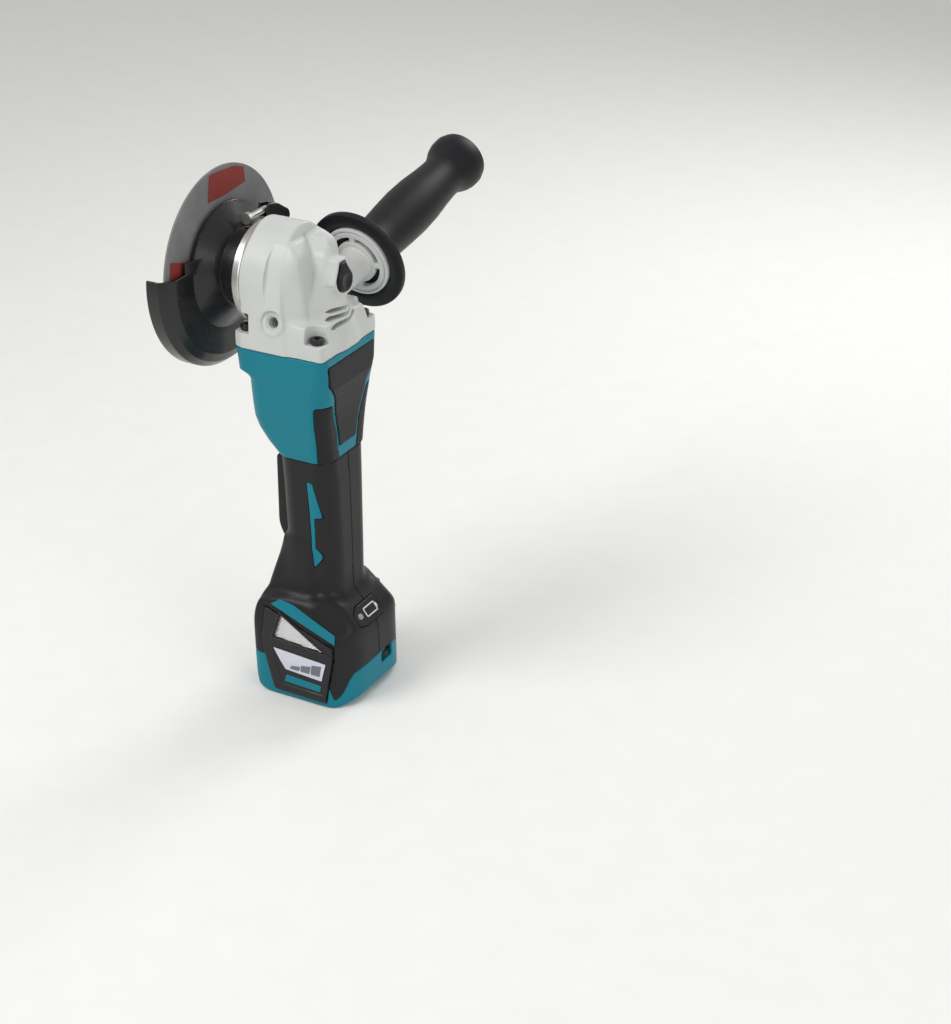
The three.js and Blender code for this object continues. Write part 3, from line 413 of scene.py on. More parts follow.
def seam(x, y):
    drop = np.interp(np.abs(y), [0, 20, 26, 29, 33, 36], [2.3, 3.3, 5.3, 9.3, 18.3, 22.3])
    return 28.3 - drop * np.clip((x - 27) / 6, 0, 1)


def handle_skin(x, y, z):
    w = np.abs(y)
    neck = tower(x, y, z, NECK)
    slope = (z - 59.9 + 0.85 * (x - 38) + 1.19 * (w - 24)) / 1.77
    foot = meet(2.6, foot_plan(x, y), w - lean(z), hull(x, z, SHOULDER_SIDE, 3), slope,
                hull(w, z, SHOULDER_BACK, 3))
    flare = meet(5, hull(x, z, FLARE_SIDE, 1.5), w - np.interp(z, [50, 70, 90, 107], [30, 25.5, 22.5, 20.5]))
    return meet(0.8, fuse(7, fuse(6, neck, foot), flare), z - 167.6, seam(x, y) - z)


def cover_bay(x, y, z, slack):
    return meet(0.5, hull(x, z, COVER_EDGE, 1.2) - slack, lean(z) - 2.6 - slack - np.abs(y))


def on_shoulder(x, y, z):
    c, s = math.cos(SHOULDER_TILT), math.sin(SHOULDER_TILT)
    return (x - 40) * c - (z - 57.6) * s, y + 4, (x - 40) * s + (z - 57.6) * c


def wedge_shape(x, z):
    return fuse(0.4, hull(x, z, [(11, 153), (15, 152.5), (20.5, 129), (12, 127)], 0.4),
                hull(x, z, [(11.8, 130), (15, 128), (14.6, 105), (12.2, 105)], 0.4),
                hull(x, z, [(12.2, 107), (14.6, 106), (20.6, 100.5), (13.2, 92)], 0.4))


def handle_half(sign):
    def field(x, y, z):
        grip_room = np.maximum(rounded(x, y, -5, 23, -18.5, 18.5, 8), slab(z, 60, 163))
        foot_room = np.maximum(rounded(x, y, -22, 36, -31, 31, 4), hull(x, z, ROOM_SIDE))
        paddle_bay = np.maximum(rounded(x, y, -24, -4, -14.3, 14.3, 1.5), slab(z, 99, 170))
        switch_bay = np.maximum(rounded(x, y, -8, 0, -9, 9, 1), slab(z, 110, 150))
        u, v, w = on_shoulder(x, y, z)
        badge_bay = meet(0.5, hull(u, v, BADGE_EDGE, 1.0) - 0.4, -w - 2.2)
        shell = carve(0.5, handle_skin(x, y, z), cover_bay(x, y, z, 0.35), badge_bay)
        for sx, sz in ((18.5, 158), (18.5, 82), (-20.5, 56)):
            shell = carve(0.5, shell, pin(x, y, z, (sx, 0, sz), ALONG, 3.7, 14.7, 60))
        if sign < 0:
            shell = carve(0.3, shell, np.maximum(wedge_shape(x, z) - 0.3, y + 21.3))
        rooms, bays = np.minimum(grip_room, foot_room), np.minimum(paddle_bay, switch_bay)
        return meet(0.5, carve(0.4, shell, rooms, bays), 0.15 - sign * y)
    return field


def flash(x, y, z):
    return meet(0.4, handle_skin(x, y, z) - 0.1, wedge_shape(x, z), y + 21.7)


for name, sign, y0, y1, node in (("handle_near_half", -1, -41, 0, "handle_shell_left"),
                                 ("handle_far_half", 1, 0, 41, "handle_shell_right")):
    dress(skin(name, handle_half(sign), (-31, y0, 4), (47.5, y1, 168), 0.7), black, "housing", "black_plastic",
          node)
dress(skin("handle_flash", flash, (10, -26, 91), (22, -20, 154), 0.35), teal, "housing", "teal_plastic",
      "handle_trim")

# ---------------------------------------------------------------- foot with battery slide
# Teal nylon base that the shells stand on. A battery slides into its channel from the back, and its
# rounded front has a slot for the speed dial.

FOOT_LOW = [(-26.2, 9), (-24, 3), (-17, 0), (36, 0), (45.2, 5.4), (46.6, 17), (45.6, 40), (-28, 40)]
FOOT_CORNER = [(-60, -10), (34.5, -10), (40.5, 22), (45, 60), (-60, 60)]
DIAL_AT = (36, 8.7, 0)


def foot_skin(x, y, z):
    w = np.abs(y)
    corner = hull(x, z, FOOT_CORNER, 1) - np.interp(w, [0, 27, 34], [14, 6, 0])
    return meet(0.9, meet(2, foot_plan(x, y), w - lean(z)), hull(x, z, FOOT_LOW, 1.8), corner, -z,
                z - seam(x, y) + 0.3)


def foot(x, y, z):
    channel = np.minimum(np.maximum(rounded(x, y, -60, 32.8, -30.3, 30.3, 2), slab(z, 7, 15)),
                         np.maximum(rounded(x, y, -60, 32.8, -26.8, 26.8, 2), slab(z, -9, 9)))
    bay = np.maximum(rounded(x, y, -22, 34, -31, 31, 3), slab(z, 18, 50))
    dial_slot = meet(0.5, rounded(y, z, 2, 15.5, 16.8, 24.8, 1.6), 38 - x)
    dial_room = pin(x, y, z, DIAL_AT, UP, 9.8, 17.9, 24)
    wires = np.maximum(rounded(x, y, 22, 32, -10, 10, 1), slab(z, 13, 20))
    return carve(0.5, foot_skin(x, y, z), channel, bay, dial_slot, dial_room, wires, cover_bay(x, y, z, 0.35))


dress(skin("foot_shell", foot, (-30, -41, 0), (47.5, 41, 28.2), 0.7), teal, "housing", "teal_plastic",
      "foot_base")

# ---------------------------------------------------------------- dust covers on the foot
# Clip-on plastic frames that hold a fine steel mesh in front of the air intake on each flank. A
# printed label with plain wedge shapes fills the lower half of each.

WINDOW = [(-6.1, 58.3), (-10.4, 43.2), (27.4, 40.7)]
SCREEN_BACK = [(-5.6, 59.4), (-11.4, 43), (28.4, 40)]
RECESS = [(-11.4, 36), (30.4, 33.6), (27.4, 9), (-4.8, 9.5)]
LABEL = [(-10.6, 35.2), (29.6, 32.9), (26.2, 19.8), (-1.4, 21.5)]
STRIPE = [(-1, 17.5), (25.5, 16), (24.6, 11), (-3, 12)]
STRIP_BACK = [(-14.5, 64), (-8, 68.4), (3, 66.8)]


def cover(sign):
    def field(x, y, z):
        w = y * sign
        plate = meet(0.7, cover_bay(x, y, z, 0), w - lean(z) - 0.9)
        lip = np.abs(hull(x, z, WINDOW, 0.8) - 1.1) - 0.7
        plate = fuse(0.5, plate, meet(0.4, lip, slab(w - lean(z), -2, 1.4)))
        recess = meet(0.4, hull(x, z, RECESS, 1.2), lean(z) + 0.35 - w)
        return carve(0.4, plate, hull(x, z, WINDOW, 0.8) - 0.3, recess)
    return field


def flat_plate(name, points, sign, rise, thick, smooth=0.4):
    def field(x, y, z):
        return meet(0.15, hull(x, z, points, smooth), slab(y * sign - lean(z) - rise, 0, thick))

    (x0, z0), (x1, z1) = np.min(points, axis=0), np.max(points, axis=0)
    y0, y1 = sorted((33 * sign, 43 * sign))
    return skin(name, field, (x0, y0, z0), (x1, y1, z1), 0.3)


glossy = finish_of("glossy_black", (0.02, 0.02, 0.022), 0.22, grain=700, bump=0.04, vary=0.05)
print_white = finish_of("label_print", (0.62, 0.62, 0.72), 0.4, grain=900, bump=0.05, vary=0.03)
print_grey = finish_of("label_shade", (0.16, 0.17, 0.2), 0.4, grain=900, bump=0.05, vary=0.05)
wire = finish_of("steel_wire", (0.5, 0.5, 0.5), 0.35, metal=1.0, grain=900, bump=0.1)


def woven(name, points, sign):
    made = bmesh.new()
    us, vs = np.arange(-13, 31, 0.85), np.arange(38, 61, 0.85)
    keep = {}
    for i, u in enumerate(us):
        for j, v in enumerate(vs):
            if hull(np.array([u]), np.array([v]), points, 0.3)[0] < 0.9:
                keep[i, j] = made.verts.new((u / 1000, sign * (float(lean(v)) - 0.5) / 1000, v / 1000))
    for (i, j), v in keep.items():
        for other in (keep.get((i + 1, j)), keep.get((i, j + 1))):
            if other:
                made.edges.new((v, other))
    mesh = bpy.data.meshes.new(name)
    made.to_mesh(mesh)
    made.free()
    piece = bpy.data.objects.new(name, mesh)
    bpy.context.scene.collection.objects.link(piece)
    return grown_by(piece, wire_tree, {"Wire radius": 0.00016, "Finish": wire})


def tree_named(name, inputs):
    tree = bpy.data.node_groups.new(name, "GeometryNodeTree")
    tree.interface.new_socket("Geometry", in_out="INPUT", socket_type="NodeSocketGeometry")
    for label, kind in inputs:
        tree.interface.new_socket(label, in_out="INPUT", socket_type=kind)
    tree.interface.new_socket("Geometry", in_out="OUTPUT", socket_type="NodeSocketGeometry")
    start, end = tree.nodes.new("NodeGroupInput"), tree.nodes.new("NodeGroupOutput")
    return tree, start, end


def nodes_in(tree, *kinds):
    return [tree.nodes.new(kind) for kind in kinds]


def end_with(tree, last, start, end):
    real, paint_it = nodes_in(tree, "GeometryNodeRealizeInstances", "GeometryNodeSetMaterial")
    tree.links.new(last, real.inputs[0])
    tree.links.new(real.outputs[0], paint_it.inputs["Geometry"])
    tree.links.new(start.outputs["Finish"], paint_it.inputs["Material"])
    tree.links.new(paint_it.outputs[0], end.inputs[0])


def grown_by(piece, tree, values):
    modifier = piece.modifiers.new("shape", "NODES")
    modifier.node_group = tree
    for item in tree.interface.items_tree:
        if item.item_type == "SOCKET" and item.in_out == "INPUT" and item.name in values:
            modifier[item.identifier] = values[item.name]
    ready = piece.evaluated_get(bpy.context.evaluated_depsgraph_get())
    source = bpy.data.meshes.new_from_object(ready)
    piece.modifiers.clear()
    mesh = bpy.data.meshes.new(piece.name)
    mesh.from_pydata([v.co[:] for v in source.vertices], [], [p.vertices[:] for p in source.polygons])
    mesh.shade_smooth()
    mesh.set_sharp_from_angle(angle=math.radians(32))
    piece.data = mesh
    return piece


wire_tree, start, end = tree_named("woven_wire", [
    ("Wire radius", "NodeSocketFloat"), ("Finish", "NodeSocketMaterial")])
curve, ring, sweep = nodes_in(wire_tree, "GeometryNodeMeshToCurve", "GeometryNodeCurvePrimitiveCircle",
                              "GeometryNodeCurveToMesh")
ring.inputs["Resolution"].default_value = 4
wire_tree.links.new(start.outputs["Geometry"], curve.inputs[0])
wire_tree.links.new(start.outputs["Wire radius"], ring.inputs["Radius"])
wire_tree.links.new(curve.outputs[0], sweep.inputs["Curve"])
wire_tree.links.new(ring.outputs[0], sweep.inputs["Profile Curve"])
end_with(wire_tree, sweep.outputs[0], start, end)

for side, sign, strip_front in (("left", -1, [(35.2, 54), (35.6, 47.8)]), ("right", 1, [(25, 58.4), (26, 51)])):
    body = "dust_cover_" + side
    y0, y1 = sorted((33 * sign, 42 * sign))
    dress(skin("cover_" + side, cover(sign), (-21, y0, 3), (35, y1, 62.5), 0.5), glossy, body, "black_plastic",
          "dust_cover_" + side)
    dress(woven("mesh_" + side, WINDOW, sign), wire, body, "screen_mesh", "dust_screen_" + side)
    dress(flat_plate("screen_back_" + side, SCREEN_BACK, sign, -1.3, 0.45), wire, body, "screen_mesh")
    dress(flat_plate("shoulder_strip_" + side, STRIP_BACK + strip_front, sign, -0.35, 0.6), teal, "housing",
          "teal_plastic")
    dress(flat_plate("label_" + side, LABEL, sign, 0.4, 0.5), print_white, body, "black_plastic")
    for i, x0 in enumerate((2, 10, 18)):
        wedge = [(x0, 23), (x0 + 7, 23), (x0 + 8.6, 26.5 + 2.2 * i), (x0 + 1.2, 25.5 + 2.2 * i)]
        dress(flat_plate(f"label_wedge_{side}_{i + 1}", wedge, sign, 0.75, 0.35, 0.2), print_grey, body,
              "black_plastic")
    dress(flat_plate("label_stripe_" + side, STRIPE, sign, 0.3, 0.4), teal, body, "teal_plastic")

# ---------------------------------------------------------------- guard and its clamp
# Deep-drawn steel guard, powder coated black. Its dished hub is held on the neck by a strap that a
# cam lever pulls tight, and it turns on the neck for either hand.

coated = finish_of("powder_coat", (0.013, 0.013, 0.014), 0.28, grain=2600, bump=0.22, vary=0.08, coat=0.3)
steel = finish_of("zinc_steel", (0.5, 0.5, 0.49), 0.3, metal=1.0, grain=900, bump=0.1, vary=0.1)


WALL = [(24.4, -34.1), (24.4, -44.8), (39.6, -54.7), (57, -54.7), (62.2, -57.2), (65.5, -61.5), (65.5, -69.5)]


def guard(x, y, z):
    r = np.hypot(y, z - HEAD_Z)
    wall = 99.0
    for a, b in zip(WALL, WALL[1:]):
        dr, dx = b[0] - a[0], b[1] - a[1]
        t = np.clip(((r - a[0]) * dr + (x - a[1]) * dx) / (dr * dr + dx * dx), 0, 1)
        wall = np.minimum(wall, np.hypot(r - a[0] - t * dr, x - a[1] - t * dx))
    lean_out = 0.24 * (y + 46)
    tab = meet(0.5, slab(y, -46, -12), slab(z, 286.5, 295), slab(x, -56.5 + lean_out, -54.7 + lean_out))
    return fuse(0.5, meet(0.6, wall - 0.85, fuse(0.1, r - 40.7, z - 288.5)), tab)


def clamp_strap(x, y, z):
    r = np.hypot(y, z - HEAD_Z)
    length = slab(x, -43, -34.2)
    strap = meet(0.5, np.abs(r - 27.25) - 1.35, length)
    ears = np.minimum(meet(0.6, slab(y, 1, 4.2), length, slab(z, 305, 317)),
                      meet(0.6, slab(y, 8.5, 11.7), length, slab(z, 304, 317)))
    split = np.maximum(slab(y, 4.2, 8.5), -z + 300)
    bolt = pin(x, y, z, (-38.6, 0, 313), ALONG, 2.4, 0, 20)
    return carve(0.3, fuse(0.8, strap, ears), split, bolt, 25.9 - r)


def clamp_arm(x, y, z):
    arm = hull(y, z, [(15, 309), (36, 300), (41, 301.5), (40, 306.5), (27, 315), (17, 317)], 1.5)
    grip = meet(0.8, arm, slab(x, -42.4, -34.8))
    fork = np.maximum(slab(x, -41.1, -36.1), np.maximum(slab(y, 8, 23), slab(z, 300, 325)))
    ribs = np.minimum(np.abs(y - 33) - 0.5, np.abs(y - 36) - 0.5)
    return carve(0.3, grip, fork, np.maximum(ribs, -arm - 0.6))


dress(skin("guard_shell", guard, (-71, -67, 213), (-33, 67, 321), 0.62), coated, "guard", "guard_steel",
      "wheel_guard")
dress(skin("guard_strap", clamp_strap, (-43.5, -29, 251), (-34, 29, 318), 0.5), coated, "guard", "black_steel",
      "guard_clamp_band")
dress(skin("guard_lever", clamp_arm, (-43, 12, 299), (-34, 42, 318), 0.4), coated, "clamp_lever", "black_steel",
      "guard_clamp_lever")

# ---------------------------------------------------------------- cutting disc and its flanges
# Thin resin wheel reinforced with glass weave, with a printed paper label round its bore. It is
# held between a turned steel flange and a lock nut with four wrench holes.

DISC = [(-60.2, 11.3), (-60.2, 62.2), (-59.9, 62.5), (-58.9, 62.5), (-58.6, 62.2), (-58.6, 11.3)]
PAPER = [(-60.35, 22), (-60.35, 40), (-60.2, 40.2), (-60.2, 22)]
PATCHES = [[(-10.2, 340.4), (26, 338), (27.1, 325), (4.3, 323), (-13.2, 323.3)],
           [(-55.7, 298.7), (-28.6, 290.1), (-32.6, 283), (-45.6, 279.7), (-57, 288.2)],
           [(30, 262), (52, 268), (54, 252), (34, 246)]]
INNER_FLANGE = [(-50.5, 7.3), (-50.5, 13.4), (-50.9, 14), (-54.3, 20.6), (-54.8, 21), (-58, 21), (-58.4, 20.6),
                (-58.4, 11), (-60, 10.9), (-60, 7.3)]
SPINDLE = [(-68, 0), (-68, 6.3), (-67.3, 7), (-49, 7), (-49, 8.6), (-41.5, 8.6), (-41.5, 6), (11.8, 6), (11.8, 0)]
resin = finish_of("abrasive_resin", (0.2, 0.2, 0.205), 0.75, grain=2400, bump=0.9, vary=0.22)
dress(turned("disc", DISC, HEAD, ACROSS, 192), resin, "spindle", "abrasive", "cutting_disc")
rust = finish_of("label_red", (0.24, 0.035, 0.028), 0.6, grain=1200, bump=0.2, vary=0.12)
paper = finish_of("label_paper", (0.5, 0.49, 0.46), 0.7, grain=1800, bump=0.3, vary=0.08)
dress(turned("disc_label", PAPER, HEAD, ACROSS, 96), paper, "spindle", "abrasive")


def print_on_disc(points):
    def field(x, y, z):
        return meet(0.2, hull(y, z, points, 0.4), np.hypot(y, z - HEAD_Z) - 60.6, slab(x, -58.5, -58.2))
    return field


for i, points in enumerate(PATCHES):
    (y0, z0), (y1, z1) = np.min(points, axis=0), np.max(points, axis=0)
    dress(skin(f"disc_print_{i + 1}", print_on_disc(points), (-59, y0, z0), (-58, y1, z1), 0.2), rust, "spindle",
          "abrasive")
dress(turned("flange_inner", INNER_FLANGE, HEAD, ACROSS), steel, "spindle", "black_steel", "inner_flange")


def nut(x, y, z):
    r = np.hypot(y, z - HEAD_Z)
    body = meet(0.5, r - 17, 7.3 - r, slab(x, -66.5, -60.5), (r - 17) * 0.7 - (x + 63) * 0.7)
    holes = pin(x, np.abs(y), np.abs(z - HEAD_Z), (0, 7.8, 7.8), ACROSS, 1.9, -68, -64)
    return carve(0.3, body, holes)


dress(skin("nut_outer", nut, (-67, -17.5, 262.5), (-60, 17.5, 297.5), 0.4), steel, "spindle", "black_steel",
      "lock_nut")
dress(turned("spindle_nose", SPINDLE, HEAD, ACROSS, 64), steel, "spindle", "machined_steel", "spindle")

# ---------------------------------------------------------------- spindle lock
# Black nylon teardrop button in the brow of the head. Pressed in, its steel pin drops into a hole
# of the crown wheel and stops the spindle.


def lock_button(x, y, z):
    dish = np.sqrt((x - 41.5) ** 2 + y ** 2 + (z - 284.5) ** 2) - 10.2
    crown = x - 32.4 + 0.02 * (z - 284) ** 2 * (z > 284)
    return carve(0.8, meet(1.4, button_edge(y, z), crown, 26.7 - x), dish,
                 pin(x, y, z, LOCK_AT, ACROSS, 2.7, 20, 28.5))


dress(skin("lock_drop", lock_button, (26.5, -8, 276), (33, 8, 296.5), 0.35), black, "shaft_lock", "black_plastic",
      "shaft_lock_button")

# ---------------------------------------------------------------- trigger paddle and lock-off
# Long black paddle on the back of the neck, hinged at the top. A small lever in its slot has to be
# tipped before it can be squeezed.


def paddle(x, y, z):
    side = fuse(1.5, hull(x, z, [(-19.6, 112), (-14.6, 101), (-11, 101), (-11, 163.5), (-18.6, 161.5)], 2),
                hull(x, z, [(-13, 154), (-5, 157.4), (-5, 162.4), (-13, 164)], 1))
    body = meet(2.2, side, slab(y, -13.5, 13.5))
    slot = meet(0.5, rounded(y, z, -4.4, 4.4, 122, 143, 2), slab(x, -40, 0))
    ribs = meet(0.4, np.abs(((z - 104) % 3.2) - 1.6) - 0.5, slab(z, 104, 116), -side - 0.5, slab(y, -9.5, 9.5))
    bore = pin(x, y, z, (-8, 0, 159), ALONG, 2.3, -20, 20)
    spring = np.maximum(slab(y, -4.6, 4.6), np.maximum(slab(z, 153, 167), -12.4 - x))
    return carve(0.4, body, slot, ribs, bore, spring)


def lock_off(x, y, z):
    side = fuse(1.2, hull(x, z, [(-24, 137.5), (-24.9, 140.6), (-21.4, 141.4), (-13, 135.6), (-16, 131)], 1),
                hull(x, z, [(-16, 127.6), (-9.8, 127.6), (-9.8, 135), (-14, 136), (-18, 133)], 0.8))
    return meet(0.9, side, slab(y, -4, 4))


dress(skin("paddle_body", paddle, (-20.5, -14, 100), (-4.5, 14, 165), 0.55), black, "paddle", "black_plastic",
      "paddle_switch")
dress(skin("lock_off_tab", lock_off, (-25.5, -4.5, 127), (-9, 4.5, 142), 0.35), black, "lock_off", "black_plastic",
      "lock_off_lever")

# ---------------------------------------------------------------- battery gauge
# Black six-sided badge let into the shoulder, with a raised outline of a battery and a round grey
# button that lights the gauge.


def badge_plate(x, y, z):
    u, v, w = on_shoulder(x, y, z)
    plate = meet(0.6, hull(u, v, BADGE_EDGE, 0.9), slab(w, -1.9, 0.35))
    return carve(0.3, plate, np.maximum(np.hypot(u, v + 8.5) - 2.5, -w - 3))


def badge_icon(x, y, z):
    u, v, w = on_shoulder(x, y, z)
    icon = np.minimum(np.abs(rounded(u, v, -3, 3, -3, 9, 0.8)) - 0.45, rounded(u, v, -1.4, 1.4, 9, 10.6, 0.4))
    return meet(0.15, icon, slab(w, 0.42, 0.85))


def check_cap(x, y, z):
    u, v, w = on_shoulder(x, y, z)
    return meet(0.5, np.hypot(u, v + 8.5) - 2.1, slab(w, -3.6, 0.87))


dress(skin("gauge_badge", badge_plate, (33.5, -18, 50), (45.5, 10, 64.5), 0.3), glossy, "housing", "black_plastic",
      "battery_gauge_panel")
dress(skin("gauge_mark", badge_icon, (33.5, -18, 50), (46, 10, 64.5), 0.22), print_white, "housing",
      "black_plastic")
grey = finish_of("grey_nylon", (0.3, 0.3, 0.3), 0.45, grain=1300, bump=0.2)
dress(skin("gauge_button", check_cap, (35.5, -15.2, 53), (42.5, -10, 60.5), 0.2), grey, "check_button",
      "grey_plastic", "battery_check_button")

# ---------------------------------------------------------------- speed dial
# Black wheel that shows its edge through the slot in the front of the foot. Fine teeth round the
# edge give the thumb a hold.

DIAL = [(18.5, 2.2), (18.5, 7.9), (18.9, 8.4), (22.9, 8.4), (23.3, 7.9), (23.3, 2.2)]
dial_tree, start, end = tree_named("toothed_edge", [
    ("Teeth", "NodeSocketInt"), ("Radius", "NodeSocketFloat"), ("Height", "NodeSocketFloat"),
    ("Finish", "NodeSocketMaterial")])
ring, tooth, put, join_all = nodes_in(dial_tree, "GeometryNodeMeshCircle", "GeometryNodeMeshCube",
                                      "GeometryNodeInstanceOnPoints", "GeometryNodeJoinGeometry")
place, angle, turn = nodes_in(dial_tree, "GeometryNodeSetPosition", "GeometryNodeInputPosition",
                              "FunctionNodeAlignRotationToVector")
size = dial_tree.nodes.new("ShaderNodeCombineXYZ")
dial_tree.links.new(start.outputs["Teeth"], ring.inputs["Vertices"])
dial_tree.links.new(start.outputs["Radius"], ring.inputs["Radius"])
dial_tree.links.new(start.outputs["Height"], size.inputs["Z"])
size.inputs["X"].default_value, size.inputs["Y"].default_value = 0.0012, 0.0011
dial_tree.links.new(size.outputs[0], tooth.inputs["Size"])
turn.axis = "X"
dial_tree.links.new(angle.outputs[0], turn.inputs["Vector"])
dial_tree.links.new(ring.outputs[0], put.inputs["Points"])
dial_tree.links.new(tooth.outputs["Mesh"], put.inputs["Instance"])
dial_tree.links.new(turn.outputs[0], put.inputs["Rotation"])
dial_tree.links.new(put.outputs[0], place.inputs["Geometry"])
place.inputs["Offset"].default_value = (0.036, 0.0087, 0.0209)
dial_tree.links.new(start.outputs["Geometry"], join_all.inputs[0])
dial_tree.links.new(place.outputs[0], join_all.inputs[0])
end_with(dial_tree, join_all.outputs[0], start, end)
dial = turned("dial_wheel", DIAL, DIAL_AT, UP, 96)
grown_by(dial, dial_tree, {"Teeth": 44, "Radius": 0.0086, "Height": 0.0042, "Finish": black})
dress(dial, black, "speed_dial", "black_plastic", "speed_dial")

# ---------------------------------------------------------------- side handle
# Rubber-covered nylon handle screwed into the side of the head. A light grey spoked disc shows
# inside its black hand flange, and the grip swells in the palm and ends in a knob.

SIDE_AT, SIDE_WAY = (-1.4, 65.4, 269.7), (0.026, 0.973, 0.229)
SIDE_GRIP = [(136.8, 0), (136, 9.5), (134, 15.2), (131, 18.4), (127, 19.6), (122, 19.5), (118, 18.6), (114, 16.9),
             (110, 15.3), (106, 14.7), (100, 14.8), (90, 15.5), (75, 17.0), (60, 17.5), (45, 17.0), (30, 16.2),
             (20, 16.1), (16, 16.8), (12, 18.6), (8, 22.2), (5, 27), (3.6, 30), (2.6, 33.4), (1.6, 34.3),
             (-0.4, 34.4), (-1.6, 34.2), (-2.2, 33.4), (-2.4, 29.5), (-2.3, 27), (-1.6, 25.2), (-0.8, 24.3),
             (1.6, 24.3), (1.6, 14.4), (24, 11.4), (26.5, 11.4), (26.5, 0)]
dress(turned("side_grip", SIDE_GRIP, SIDE_AT, SIDE_WAY), rubber, "side_handle", "grip_rubber", "side_handle_grip")


def hand_disc(x, y, z):
    way = Vector(SIDE_WAY).normalized()
    dx, dy, dz = x - SIDE_AT[0], y - SIDE_AT[1], z - SIDE_AT[2]
    a = dx * way.x + dy * way.y + dz * way.z
    one = way.cross(Vector((0, 0, 1))).normalized()
    two = way.cross(one)
    u = dx * one.x + dy * one.y + dz * one.z
    v = dx * two.x + dy * two.y + dz * two.z
    r = np.hypot(u, v)
    rim = meet(0.5, np.abs(r - 20.9) - 3.0, slab(a, -3.2, 0.9))
    ring = meet(0.5, np.abs(r - 12.6) - 1.8, slab(a, -3.4, 0.9))
    spokes = meet(0.5, np.minimum(np.abs(u), np.abs(v)) - 1.8, r - 22, slab(a, -3.0, 0.9))
    stub = meet(0.6, r - np.interp(a, [-33.5, -24, -4], [9, 10.5, 11]), slab(a, -33.3, 0.9))
    body = fuse(0.6, rim, ring, spokes, stub)
    groove = meet(0.3, np.abs(r - 21.6) - 0.5, slab(a, -6, -2.4))
    return carve(0.3, body, groove, np.maximum(r - 4.2, slab(a, -40, 10)))


disc_grey = finish_of("light_nylon", (0.62, 0.63, 0.62), 0.42, grain=1300, bump=0.18, vary=0.04)
dress(skin("hand_disc", hand_disc, (-27, 29, 243), (24, 71, 296), 0.5), disc_grey, "side_handle", "grey_plastic",
      "side_handle_core")

# ---------------------------------------------------------------- screws
# Black steel screws with six-lobed sockets hold the head and the bearing ring. One head is shaped for
# each size and set on its seats; the handle's screws stay plain, deep in their bores.


def lobed_head(name, radius, height, depth):
    made = bmesh.new()
    n = 48
    lobe = lambda t: radius * (0.46 + 0.075 * math.cos(6 * t))
    rings = [(lambda t: 0.02 * radius, height - depth), (lobe, height - depth), (lobe, height),
             (lambda t: radius * 0.86, height), (lambda t: radius * 0.96, height * 0.88),
             (lambda t: radius, height * 0.6), (lambda t: radius, 0)]
    loops = [[made.verts.new((f(t) * math.cos(t) / 1000, f(t) * math.sin(t) / 1000, h / 1000))
              for t in (i * math.tau / n for i in range(n))] for f, h in rings]
    for a, b in zip(loops, loops[1:]):
        for i in range(n):
            made.faces.new((a[i], a[(i + 1) % n], b[(i + 1) % n], b[i]))
    made.faces.new(loops[0])
    made.faces.new(loops[-1])
    bmesh.ops.recalc_face_normals(made, faces=made.faces)
    mesh = bpy.data.meshes.new(name)
    made.to_mesh(mesh)
    made.free()
    mesh.shade_smooth()
    mesh.set_sharp_from_angle(angle=math.radians(32))
    return bpy.data.objects.new(name, mesh)


screw_tree, start, end = tree_named("set_screws", [
    ("Head", "NodeSocketObject"), ("Way", "NodeSocketVector"), ("Finish", "NodeSocketMaterial")])
head_in, put, align = nodes_in(screw_tree, "GeometryNodeObjectInfo", "GeometryNodeInstanceOnPoints",
                               "FunctionNodeAlignRotationToVector")
align.axis = "Z"
screw_tree.links.new(start.outputs["Head"], head_in.inputs["Object"])
screw_tree.links.new(start.outputs["Way"], align.inputs["Vector"])
screw_tree.links.new(start.outputs["Geometry"], put.inputs["Points"])
screw_tree.links.new(head_in.outputs["Geometry"], put.inputs["Instance"])
screw_tree.links.new(align.outputs[0], put.inputs["Rotation"])
end_with(screw_tree, put.outputs[0], start, end)
screw_black = finish_of("screw_black", (0.02, 0.02, 0.021), 0.35, metal=0.3, grain=900, bump=0.1)


def set_screw(name, at, way, head):
    mesh = bpy.data.meshes.new(name)
    mesh.from_pydata([[c / 1000 for c in at]], [], [])
    piece = bpy.data.objects.new(name, mesh)
    bpy.context.scene.collection.objects.link(piece)
    grown_by(piece, screw_tree, {"Head": head, "Way": way, "Finish": screw_black})
    return dress(piece, screw_black, "housing", "black_steel")


big, small = lobed_head("big_head", 4.4, 2.6, 1.8), lobed_head("small_head", 3.0, 2.0, 1.4)
for node in frame["nodes"]:
    low, high = (Vector(c) * 1000 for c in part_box(node))
    mid = (low + high) / 2
    if node.startswith("gear_housing_screw"):
        set_screw("cap_" + node, (mid.x, mid.y, high.z - 2.4), UP, big)
    elif node.startswith("bearing_box_screw"):
        set_screw("cap_" + node, (low.x, mid.y, mid.z), (-1, 0, 0), small)

# ---------------------------------------------------------------- finishes of the plain inner parts
# Shafts, bearings, gears, magnets, the board and the contacts are shown as machined or moulded, each
# in its own metal, plastic or laminate.

laminate = finish_of("board_laminate", (0.02, 0.12, 0.05), 0.4, grain=1800, bump=0.2, vary=0.2)
amber = finish_of("contact_amber", (0.55, 0.36, 0.05), 0.45, grain=900, bump=0.1)
slots = {"machined_steel": steel, "black_steel": coated, "bare_aluminium": aluminium, "board": laminate,
         "terminal_plastic": amber, "black_plastic": black, "grey_plastic": grey, "guard_steel": coated,
         "teal_plastic": teal, "grip_rubber": rubber, "painted_head": paint, "screen_mesh": wire, "abrasive": resin}
for node, piece in frame["nodes"].items():
    wanted = steel
    for part in frame["record"].get("subparts", []):
        if part.get("node") == node:
            wanted = slots.get(part.get("material_slot") or part.get("slot") or part.get("material"), steel)
    if "screw" in node:
        wanted = screw_black
    piece.data.materials.clear()
    piece.data.materials.append(wanted)

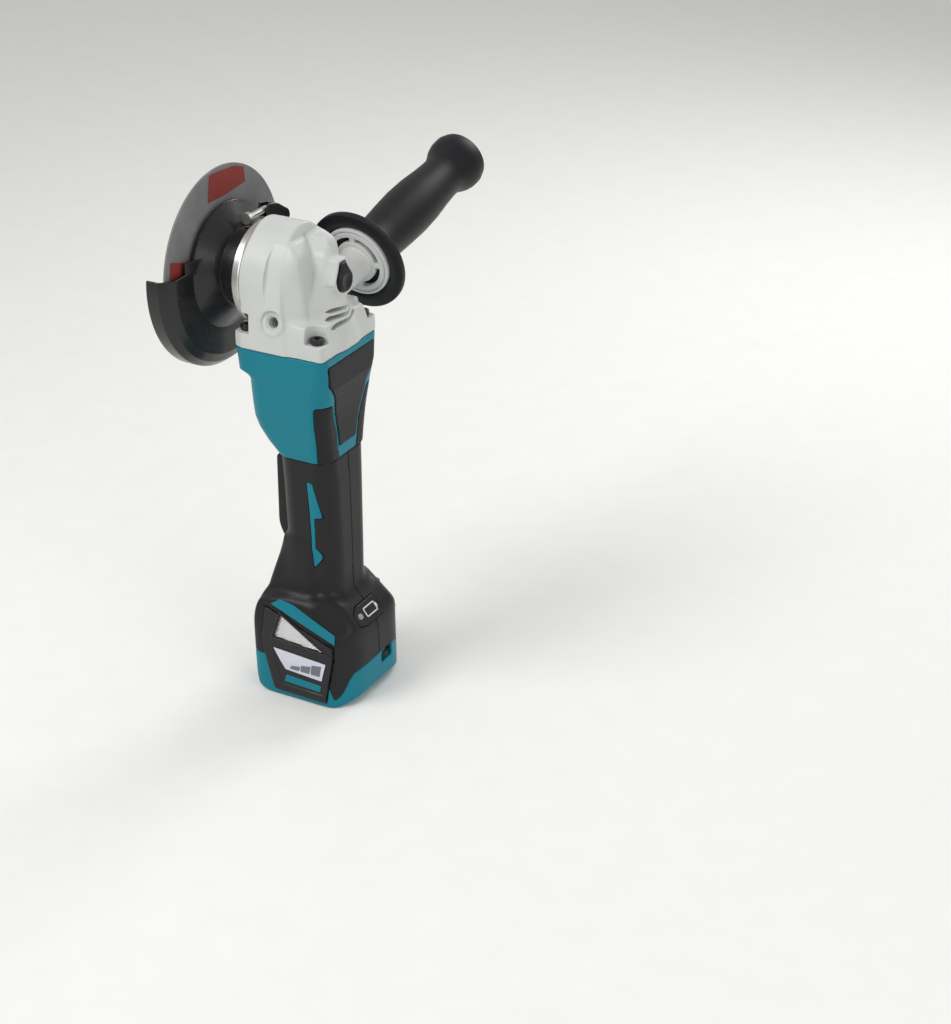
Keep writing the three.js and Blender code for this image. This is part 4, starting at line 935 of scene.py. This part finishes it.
# ---------------------------------------------------------------- floor, light and camera
# Pale sweep under the tool, with large soft lights above, at the left and behind.


def soft_light(name, at, aim, size, power):
    data = bpy.data.lights.new(name, "AREA")
    data.shape, data.size, data.energy = "DISK", size, power
    lamp = bpy.data.objects.new(name, data)
    bpy.context.scene.collection.objects.link(lamp)
    lamp.location = at
    lamp.rotation_euler = (Vector(aim) - Vector(at)).to_track_quat("-Z", "Y").to_euler()


FLOOR_Z = -0.0005
floor_mesh = bpy.data.meshes.new("floor")
corners = [(x, y, FLOOR_Z) for x, y in ((-30, -30), (30, -30), (30, 30), (-30, 30))]
floor_mesh.from_pydata(corners, [], [(0, 1, 2, 3)])
floor = bpy.data.objects.new("floor", floor_mesh)
bpy.context.scene.collection.objects.link(floor)
floor.data.materials.append(finish_of("pale_floor", (0.86, 0.855, 0.83), 0.7, grain=60, bump=0.0, vary=0.01))
bpy.context.scene.view_settings.view_transform = "Standard"
world = bpy.data.worlds.new("studio")
bpy.context.scene.world = world
world.use_nodes = True
world.node_tree.nodes["Background"].inputs["Color"].default_value = (0.95, 0.95, 0.94, 1)
world.node_tree.nodes["Background"].inputs["Strength"].default_value = 0.57
soft_light("key", (-0.5, -0.7, 1.2), (0, 0, 0.18), 0.7, 9)
soft_light("fill", (1.1, -0.5, 0.6), (0, 0, 0.15), 0.8, 3)
soft_light("rim", (0.2, 1.1, 0.9), (0, 0, 0.2), 0.6, 6)

CAMERA_AT = (0.7498, -1.1114, 0.8057)
az, el, roll = (math.radians(a) for a in (29.56, 27.26, -0.76))
back = Vector((math.sin(az) * math.cos(el), -math.cos(az) * math.cos(el), math.sin(el)))
right = Vector((math.cos(az), math.sin(az), 0))
up = back.cross(right)
across, rise = right * math.cos(roll) + up * math.sin(roll), up * math.cos(roll) - right * math.sin(roll)
lens = bpy.data.cameras.new("camera")
lens.lens, lens.sensor_width = 81.77, 36
camera = bpy.data.objects.new("camera", lens)
bpy.context.scene.collection.objects.link(camera)
camera.matrix_world = Matrix([(across[i], rise[i], back[i], CAMERA_AT[i]) for i in range(3)] + [(0, 0, 0, 1)])
bpy.context.scene.camera = camera
